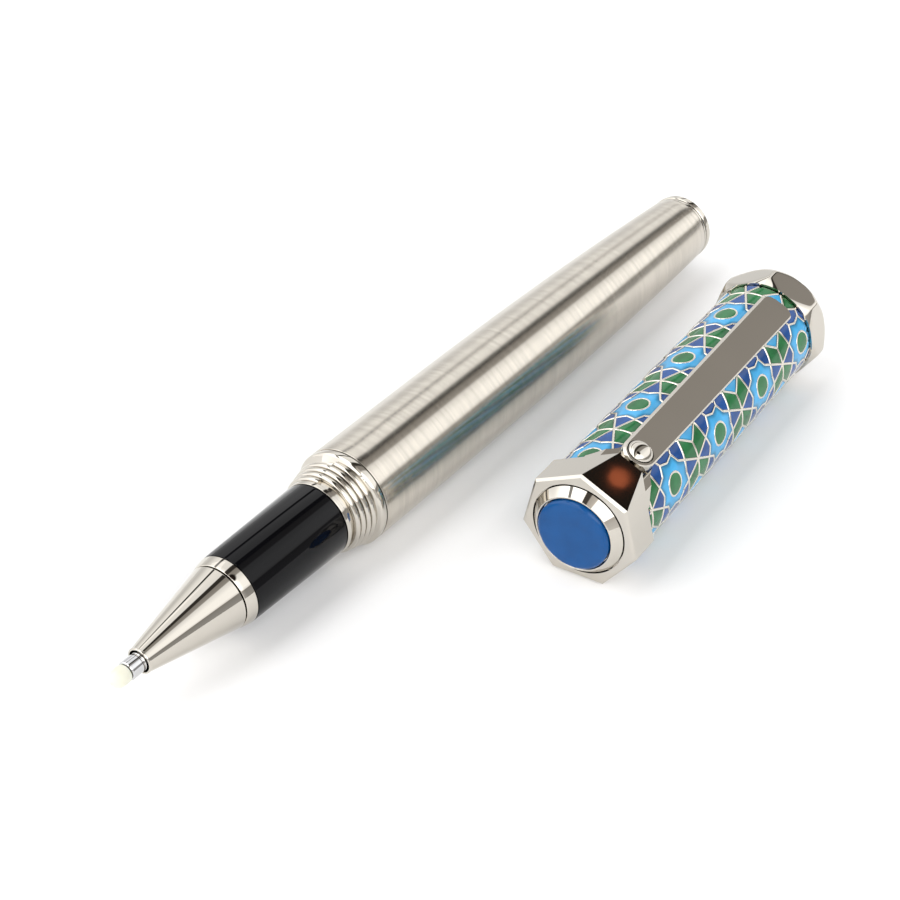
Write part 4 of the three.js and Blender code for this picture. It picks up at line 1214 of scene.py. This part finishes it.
class PEN_OT_enamel(bpy.types.Operator):
    """Enamel cells and the raised wires between them, wrapped round the cap's tube"""

    bl_idname = "pen.enamel"
    bl_label = "Enamel"
    bl_options = {"REGISTER", "UNDO"}

    def unit(self, name, cells, crown):
        """Flat cells, each a fan about its middle, with its glaze number on its faces."""
        verts, faces, kinds, heights = [], [], [], []
        order = list(GLAZES)
        for kind, outline in cells:
            base = len(verts)
            middle = np.mean(outline, axis=0)
            verts += [(x, y, 0) for x, y in outline] + [(*middle, 0)]
            heights += [0.0] * len(outline) + [crown]
            count = len(outline)
            faces += [[base + k, base + (k + 1) % count, base + count] for k in range(count)]
            kinds += [order.index(kind)] * count
        mesh = bpy.data.meshes.new(name)
        mesh.from_pydata(verts, [], faces)
        mesh.attributes.new("glaze", "INT", "FACE").data.foreach_set("value", kinds)
        mesh.attributes.new("crown", "FLOAT", "POINT").data.foreach_set("value", heights)
        work = bmesh.new()
        work.from_mesh(mesh)
        work.normal_update()
        bmesh.ops.reverse_faces(work, faces=[f for f in work.faces if f.normal.z < 0])
        work.to_mesh(mesh)
        work.free()
        return link(name, mesh)

    def lattice(self, tree):
        """Copies of the flat unit on staggered rows, from the tree's named inputs."""
        rows, columns = tree.value("rows"), tree.value("columns")
        count = tree.math("MULTIPLY", rows, columns)
        points = tree.add("GeometryNodePoints", Count=count)
        index = tree.add("GeometryNodeInputIndex")
        row = tree.math("FLOOR", tree.math("DIVIDE", index, columns))
        column = tree.math("SUBTRACT", index, tree.math("MULTIPLY", row, columns))
        odd = tree.math("MODULO", row, 2.0)
        shift = tree.math("ADD", column, tree.math("MULTIPLY", odd, -0.5))
        x = tree.math("ADD", tree.value("first_star"), tree.math("MULTIPLY", shift, tree.value("period")))
        y = tree.math("MULTIPLY", row, tree.value("row_spacing"))
        place = tree.add("ShaderNodeCombineXYZ", X=x, Y=y)
        placed = tree.add("GeometryNodeSetPosition", Geometry=points, Position=place)
        info = tree.add("GeometryNodeObjectInfo", Object=tree.value("unit"))
        copies = tree.add("GeometryNodeInstanceOnPoints", Points=placed, Instance=info.outputs["Geometry"])
        return tree.add("GeometryNodeRealizeInstances", Geometry=copies)

    def wrapped(self, tree, flat, lift):
        """Bends the flat pattern round the tube, clamped between the tube's ends."""
        spot = tree.add("ShaderNodeSeparateXYZ", Vector=tree.add("GeometryNodeInputPosition"))
        x = tree.add("ShaderNodeClamp", Value=spot.outputs["X"], Min=tree.value("start"),
                     Max=tree.value("end"))
        turn = tree.math("DIVIDE", spot.outputs["Y"], tree.value("radius"))
        angle = tree.math("ADD", turn, tree.value("first_angle"))
        radius = tree.math("ADD", tree.value("radius"), lift)
        y = tree.math("MULTIPLY", radius, tree.math("SINE", angle))
        z = tree.math("MULTIPLY", radius, tree.math("COSINE", angle))
        place = tree.add("ShaderNodeCombineXYZ", X=x, Y=y, Z=z)
        return tree.add("GeometryNodeSetPosition", Geometry=flat, Position=place)

    def inputs(self, unit):
        p, s = bpy.context.scene.enamel_pattern, cap()
        spacing = 2 * math.pi * s.tube / p.rows
        return {
            "unit": unit, "rows": p.rows, "columns": COLUMNS, "period": p.period, "row_spacing": spacing,
            "first_star": p.first - p.period, "start": s.crown + s.seam, "end": s.length - s.lip - s.seam,
            "first_angle": FIRST_ROW, "radius": s.tube,
        }

    def keep_inside(self, tree, geometry, margin):
        spot = tree.add("ShaderNodeSeparateXYZ", Vector=tree.add("GeometryNodeInputPosition"))
        before = tree.add("FunctionNodeCompare", {"operation": "LESS_THAN"}, _0=spot.outputs["X"],
                          _1=tree.math("SUBTRACT", tree.value("start"), margin).outputs[0])
        after = tree.add("FunctionNodeCompare", {"operation": "GREATER_THAN"}, _0=spot.outputs["X"],
                         _1=tree.math("ADD", tree.value("end"), margin).outputs[0])
        out = tree.add("FunctionNodeBooleanMath", {"operation": "OR"}, _0=before, _1=after)
        return tree.add("GeometryNodeDeleteGeometry", {"domain": "POINT"}, Geometry=geometry, Selection=out)

    def glazes(self, tree, geometry):
        kind = tree.add("GeometryNodeInputNamedAttribute", {"data_type": "INT"}, Name="glaze")
        for number, label in enumerate(GLAZES):
            chosen = tree.add("FunctionNodeCompare", {"data_type": "INT", "operation": "EQUAL"})
            tree.group.links.new(kind.outputs[0], chosen.inputs[2])
            chosen.inputs[3].default_value = number
            geometry = tree.add("GeometryNodeSetMaterial", Geometry=geometry, Selection=chosen,
                                Material=tree.value(label + "_glaze"))
        return geometry

    def finished(self, name, tree, result, unit, slot):
        """Runs the tree, drops its unit and puts the result on the cap."""
        obj = link(name, bpy.data.meshes.new(name))
        tree.bake(obj, result)
        bpy.data.objects.remove(unit)
        place_mesh(obj, CAP)
        obj.data.shade_smooth()
        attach(obj, "cap")
        return obj

    def build_cells(self, cells):
        unit = self.unit("enamel_unit", cells, 1.0)
        materials = {}
        for label, share in GLAZES.items():
            color = getattr(colors(), label)
            # True gives each cell painted shade towards its edges beside the wires
            materials[label + "_glaze"] = once(glaze, "enamel_" + label, color, darker(color, share), True)
        tree = Tree("enamel_cells", **self.inputs(unit), crown_height=0.035, skin=0.35, **materials)
        copies = self.lattice(tree)
        fine = tree.add("GeometryNodeSubdivideMesh", Mesh=copies, Level=2)
        kept = self.keep_inside(tree, fine, 0.45)
        crown = tree.add("GeometryNodeInputNamedAttribute", {"data_type": "FLOAT"}, Name="crown")
        soft = tree.math("POWER", crown.outputs[0], 0.5)
        lift = tree.math("MULTIPLY", soft, tree.value("crown_height"))
        bent = self.wrapped(tree, kept, lift)
        whole = tree.add("GeometryNodeMergeByDistance", Geometry=bent, Distance=MERGE)
        inward = tree.math("MULTIPLY", tree.value("skin"), -1.0)
        inner = tree.add("GeometryNodeExtrudeMesh", {"mode": "FACES"}, Mesh=whole, Offset_Scale=inward,
                         Individual=False)
        turned_in = tree.add("GeometryNodeFlipFaces", Mesh=inner)
        both = tree.add("GeometryNodeJoinGeometry")
        for part in (whole, turned_in):
            tree.group.links.new(part.outputs[0], both.inputs[0])
        closed = tree.add("GeometryNodeMergeByDistance", Geometry=both, Distance=MERGE)
        real = tree.add("GeometryNodeRealizeInstances", Geometry=closed)
        obj = self.finished("enamel_cells", tree, self.glazes(tree, real), unit, "enamel")
        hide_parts("enamel_tube")

    def build_wires(self, wires, pattern):
        """Wires as short straight edges, so that they bend with the tube."""
        verts, edges, step = [], [], 0.3
        for first, second in wires:
            count = max(2, round(math.dist(first, second) / step))
            base = len(verts)
            run = np.array(second) - first
            verts += [(*(np.array(first) + run * k / count), 0) for k in range(count + 1)]
            edges += [(base + k, base + k + 1) for k in range(count)]
        base = len(verts)
        ring = circle(pattern.boss, 0, BOSS_SIDES)
        verts += [*ring, ring[0]]
        edges += [(base + k, base + k + 1) for k in range(BOSS_SIDES)]
        mesh = bpy.data.meshes.new("wire_unit")
        mesh.from_pydata(verts, edges, [])
        unit = link("wire_unit", mesh)
        metal = once(polished_metal, "cloison_wire", (0.78, 0.74, 0.66), 0.12)
        tree = Tree("enamel_wires", **self.inputs(unit), wire_radius=pattern.wire, sink=-0.085, metal=metal)
        kept = self.keep_inside(tree, self.lattice(tree), 0.02)
        bent = self.wrapped(tree, kept, tree.value("sink"))
        lines = tree.add("GeometryNodeMeshToCurve", Mesh=bent)
        section = tree.add("GeometryNodeCurvePrimitiveCircle", Radius=tree.value("wire_radius"),
                           Resolution=8)
        swept = tree.add("GeometryNodeCurveToMesh", Curve=lines, Profile_Curve=section, Fill_Caps=True)
        real = tree.add("GeometryNodeRealizeInstances", Geometry=swept)
        plated = tree.add("GeometryNodeSetMaterial", Geometry=real, Material=tree.value("metal"))
        self.finished("enamel_wires", tree, plated, unit, "polished_metal")

    def build_bosses(self, pattern):
        """A low green dome inside each star's ring."""
        edge, rise, bottom, steps = 0.02, 0.05, -0.1, 5
        verts = []
        for height, radius in dome(edge, rise, pattern.boss, steps):
            verts += circle(radius, height, BOSS_SIDES)
        last, top = len(verts) - BOSS_SIDES, len(verts)
        verts.append((0, 0, edge + rise))
        faces = strips(steps, BOSS_SIDES)
        faces += [[last + k, last + (k + 1) % BOSS_SIDES, top] for k in range(BOSS_SIDES)]
        rim = len(verts)
        verts += circle(pattern.boss, bottom, BOSS_SIDES)
        faces += [[(k + 1) % BOSS_SIDES, k, rim + k, rim + (k + 1) % BOSS_SIDES] for k in range(BOSS_SIDES)]
        faces.append(list(range(len(verts) - 1, rim - 1, -1)))
        mesh = bpy.data.meshes.new("boss_unit")
        mesh.from_pydata(verts, [], faces)
        unit = link("boss_unit", mesh)
        green = once(glaze, "boss_green", colors().green, darker(colors().green, GLAZES["green"]))
        tree = Tree("enamel_bosses", **self.inputs(unit), boss_glaze=green)
        kept = self.keep_inside(tree, self.lattice(tree), 0.4)
        spot = tree.add("ShaderNodeSeparateXYZ", Vector=tree.add("GeometryNodeInputPosition"))
        height = spot.outputs["Z"]
        bent = self.wrapped(tree, kept, height)
        real = tree.add("GeometryNodeRealizeInstances", Geometry=bent)
        glazed = tree.add("GeometryNodeSetMaterial", Geometry=real, Material=tree.value("boss_glaze"))
        self.finished("enamel_bosses", tree, glazed, unit, "enamel")

    def execute(self, context):
        pattern = bpy.context.scene.enamel_pattern
        spacing = 2 * math.pi * cap().tube / pattern.rows
        cells, wires = enamel_cells(pattern, spacing)
        self.build_cells(cells)
        self.build_wires(wires, pattern)
        self.build_bosses(pattern)
        return {"FINISHED"}


class PEN_OT_cap_inside(bpy.types.Operator):
    """Brass liner with its thread, the inner cup and the screw that holds it"""

    bl_idname = "pen.cap_inside"
    bl_label = "Inside of the cap"
    bl_options = {"REGISTER", "UNDO"}

    def execute(self, context):
        s = cap()
        start, floor, end, skin = 3.25, 4.05, s.length - s.lip - s.seam, 6.35
        liner = [(start, skin), (end, skin), (end, LINER_BORE), (floor, LINER_BORE), (floor, SCREW_HOLE),
                 (start, SCREW_HOLE)]
        dress(turned("cap_liner_turned", liner, CAP, 0.05), "cap", "brass", brass(), "cap_liner")
        start, floor, end, skin = 9.5, 10.5, 20.5, LINER_BORE - 0.1
        cup = [(start, skin - 0.3), (start + 0.3, skin), (end, skin), (end, skin - 0.6), (floor, skin - 0.6),
               (floor, SCREW_HOLE), (start, SCREW_HOLE)]
        dress(turned("cap_inner_cup_moulded", cup, CAP, 0.12), "cap", "black_plastic", black_plastic(),
              "cap_inner_cup")
        tip, under, top, thread, rim = 1.35, floor + 0.15, floor + 1.2, SCREW_HOLE - 0.15, 2.3
        screw = [(tip, 0), (tip, thread), (under, thread), (under, rim), (top - 0.2, rim), (top, rim - 0.3),
                 (top, 0)]
        head = turned("crown_screw_turned", screw, CAP, 0.05, 64)
        slot_cut = block(top - 0.5, top + 0.3, 0.25, -rim - 0.7, rim + 0.7)
        place_mesh(slot_cut, CAP)
        combine(head, slot_cut, "DIFFERENCE")
        head.data.shade_smooth()
        head.data.set_sharp_from_angle(angle=BEND)
        dress(head, "cap", "brass", brass(), "crown_screw")
        ridge = spiral_piece("cap_mouth_thread", CAP, 6.22, 6.22, s.length - 3.6, s.length - 1.0,
                             3, 0.3, plating())
        dress(ridge, "cap", "polished_metal", plating())
        return {"FINISHED"}


# ---------------------------------------------------------------- the stage


# The studio's soft boxes and dark gaps: degrees round X from straight up towards +Y, level, warmth.
STUDIO = (
    (-90, 0.45, 0.04), (-80, 0.4, 0.04), (-68, 0.35, 0.08), (-66, 1.3, 0.02), (-60, 1.6, 0.0),
    (-45, 1.6, 0.0), (-24, 1.25, 0.0), (-20, 0.42, 0.1), (-8, 0.36, 0.12), (-5, 0.05, 0.2),
    (5, 0.05, 0.2), (7, 1.25, 0.0), (34, 1.35, 0.0), (36, 0.06, 0.1), (41, 0.06, 0.1), (43, 1.5, 0.0),
    (50, 1.3, 0.0), (75, 0.85, 0.0), (90, 0.75, 0.0),
)
DARK_PATCH = (-0.03, -0.36, 0.93)  # where the dark screen and the warm card overhead are
WARM_PATCH = (-0.024, -0.3755, 0.9265)
LAMP_PLACE = (-0.15, 0.5, 0.7)
AIM = Vector((-0.0048, 0.0093, -0.0019))  # camera's target from the middle of the layout


class PEN_OT_stage(bpy.types.Operator):
    """Pale floor, soft studio light and the camera"""

    bl_idname = "pen.stage"
    bl_label = "Stage"
    bl_options = {"REGISTER", "UNDO"}

    def execute(self, context):
        self.floor()
        self.world()
        self.lamp()
        self.camera()
        bpy.context.scene.view_settings.view_transform = "Standard"
        return {"FINISHED"}

    def floor(self):
        side = 3.0
        corners = [(-side, -side, 0), (side, -side, 0), (side, side, 0), (-side, side, 0)]
        floor = mesh_object("floor", corners, [[0, 1, 2, 3]])
        material, base = shader("pale_floor", (0.9, 0.9, 0.9), 0.0, 0.6)
        base.inputs["Specular IOR Level"].default_value = 0.2
        grain = noise(material, 40, 3.0)
        wire(material, mix_color(material, grain, (0.9, 0.9, 0.905), (0.91, 0.91, 0.91)), base, "Base Color")
        floor.data.materials.append(material)
        floor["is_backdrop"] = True

    def world(self):
        """Soft boxes and dark gaps that run beside the pen, and a dark warm patch overhead."""
        world = bpy.data.worlds.new("studio")
        bpy.context.scene.world = world
        world.use_nodes = True
        background = world.node_tree.nodes["Background"]
        direction = add(world, "ShaderNodeTexCoord").outputs["Generated"]
        split = add(world, "ShaderNodeSeparateXYZ", Vector=direction).outputs
        turn = add(world, "ShaderNodeMath", {"operation": "ARCTAN2"}, _0=split["Y"], _1=split["Z"])
        quarter = math.pi / 2
        share = add(world, "ShaderNodeMapRange", Value=turn, From_Min=-quarter, From_Max=quarter)
        ramp = add(world, "ShaderNodeValToRGB", Fac=share)
        ramp.color_ramp.interpolation = "EASE"
        elements = ramp.color_ramp.elements
        for degrees, level, warmth in STUDIO:
            stop = elements.new((degrees + 90) / 180)
            stop.color = (level, level * (1 - 0.5 * warmth), level * (1 - warmth), 1)
        elements.remove(elements[0])
        elements.remove(elements[-1])
        shade = self.patch(world, direction, DARK_PATCH, 8, 14)
        light = mix_color(world, shade, (0, 0, 0), (0.015, 0.012, 0.01))
        world.node_tree.links.new(ramp.outputs[0], light.node.inputs[MIX_FIRST])
        warm = self.patch(world, direction, WARM_PATCH, 0.27, 0.3)
        glow = mix_color(world, warm, (0, 0, 0), (0.42, 0.11, 0.05))
        world.node_tree.links.new(light, glow.node.inputs[MIX_FIRST])
        fill = add(world, "ShaderNodeMapRange", Value=split["X"], From_Min=0.15, From_Max=-0.35,
                   To_Min=1.0, To_Max=2.0)
        lit = add(world, "ShaderNodeVectorMath", {"operation": "SCALE"}, _0=glow, Scale=fill)
        world.node_tree.links.new(lit.outputs[0], background.inputs[0])
        background.inputs[1].default_value = bpy.context.scene.pen_stage.light

    def patch(self, world, direction, centre, core, edge):
        """1 inside a round patch of the studio about a direction, fading out to its edge, in degrees."""
        level = add(world, "ShaderNodeVectorMath", {"operation": "DOT_PRODUCT"}, _0=direction)
        level.inputs[1].default_value = Vector(centre).normalized()
        low, high = math.cos(math.radians(edge)), math.cos(math.radians(core))
        return add(world, "ShaderNodeMapRange", {"interpolation_type": "SMOOTHSTEP"},
                   Value=level.outputs["Value"], From_Min=low, From_Max=high).outputs[0]

    def lamp(self):
        light = bpy.data.lights.new("key_softbox", "AREA")
        light.shape = "RECTANGLE"
        light.size = 0.9
        light.size_y = 0.5
        light.energy = 0.4
        lamp = bpy.data.objects.new("key_softbox", light)
        lamp.location = LAMP_PLACE
        lamp.rotation_euler = (-Vector(LAMP_PLACE)).to_track_quat("-Z", "Y").to_euler()
        bpy.context.scene.collection.objects.link(lamp)

    def camera(self):
        s = bpy.context.scene.pen_stage
        low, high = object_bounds()
        target = (low + high) / 2 + AIM
        level = math.cos(s.pitch)
        look = Vector((math.cos(s.heading) * level, math.sin(s.heading) * level, -math.sin(s.pitch)))
        data = bpy.data.cameras.new("camera")
        data.lens = s.lens
        data.sensor_width = 36
        data.clip_start = 0.01
        data.clip_end = 20
        camera = bpy.data.objects.new("camera", data)
        camera.location = target - look * s.distance
        camera.rotation_euler = look.to_track_quat("-Z", "Y").to_euler()
        bpy.context.scene.collection.objects.link(camera)
        bpy.context.scene.camera = camera


# ---------------------------------------------------------------- panel and registration

OPERATORS = (
    PEN_OT_stage, PEN_OT_nose, PEN_OT_grip, PEN_OT_thread_collar, PEN_OT_barrel, PEN_OT_tail,
    PEN_OT_writing_tip, PEN_OT_refill, PEN_OT_section_core, PEN_OT_barrel_inside, PEN_OT_crown,
    PEN_OT_stone, PEN_OT_lip_ring, PEN_OT_clip, PEN_OT_enamel, PEN_OT_cap_inside,
)

SETTINGS = {
    "pen_sizes": PenSizes, "cap_sizes": CapSizes, "enamel_pattern": EnamelPattern,
    "pen_finishes": Finishes, "pen_stage": StageSettings,
}


class PEN_PT_panel(bpy.types.Panel):
    """Lists the pieces and their settings"""

    bl_idname = "PEN_PT_panel"
    bl_label = "Rollerball Pen"
    bl_space_type = "VIEW_3D"
    bl_region_type = "UI"
    bl_category = "Rollerball Pen"

    def draw(self, context):
        for operator in OPERATORS:
            self.layout.operator(operator.bl_idname)
        for name, group in SETTINGS.items():
            box = self.layout.box()
            box.label(text=group.__doc__)
            for key in group.__annotations__:
                box.prop(getattr(context.scene, name), key)


def register():
    for group in SETTINGS.values():
        bpy.utils.register_class(group)
    for operator in OPERATORS:
        bpy.utils.register_class(operator)
    bpy.utils.register_class(PEN_PT_panel)
    for name, group in SETTINGS.items():
        setattr(bpy.types.Scene, name, PointerProperty(type=group))


def unregister():
    for name in SETTINGS:
        delattr(bpy.types.Scene, name)
    bpy.utils.unregister_class(PEN_PT_panel)
    for operator in reversed(OPERATORS):
        bpy.utils.unregister_class(operator)
    for group in reversed(list(SETTINGS.values())):
        bpy.utils.unregister_class(group)


def main():
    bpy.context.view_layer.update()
    register()
    for operator in OPERATORS:
        name = operator.bl_idname.split(".")[1]
        getattr(bpy.ops.pen, name)()


if __name__ == "__main__":
    main()
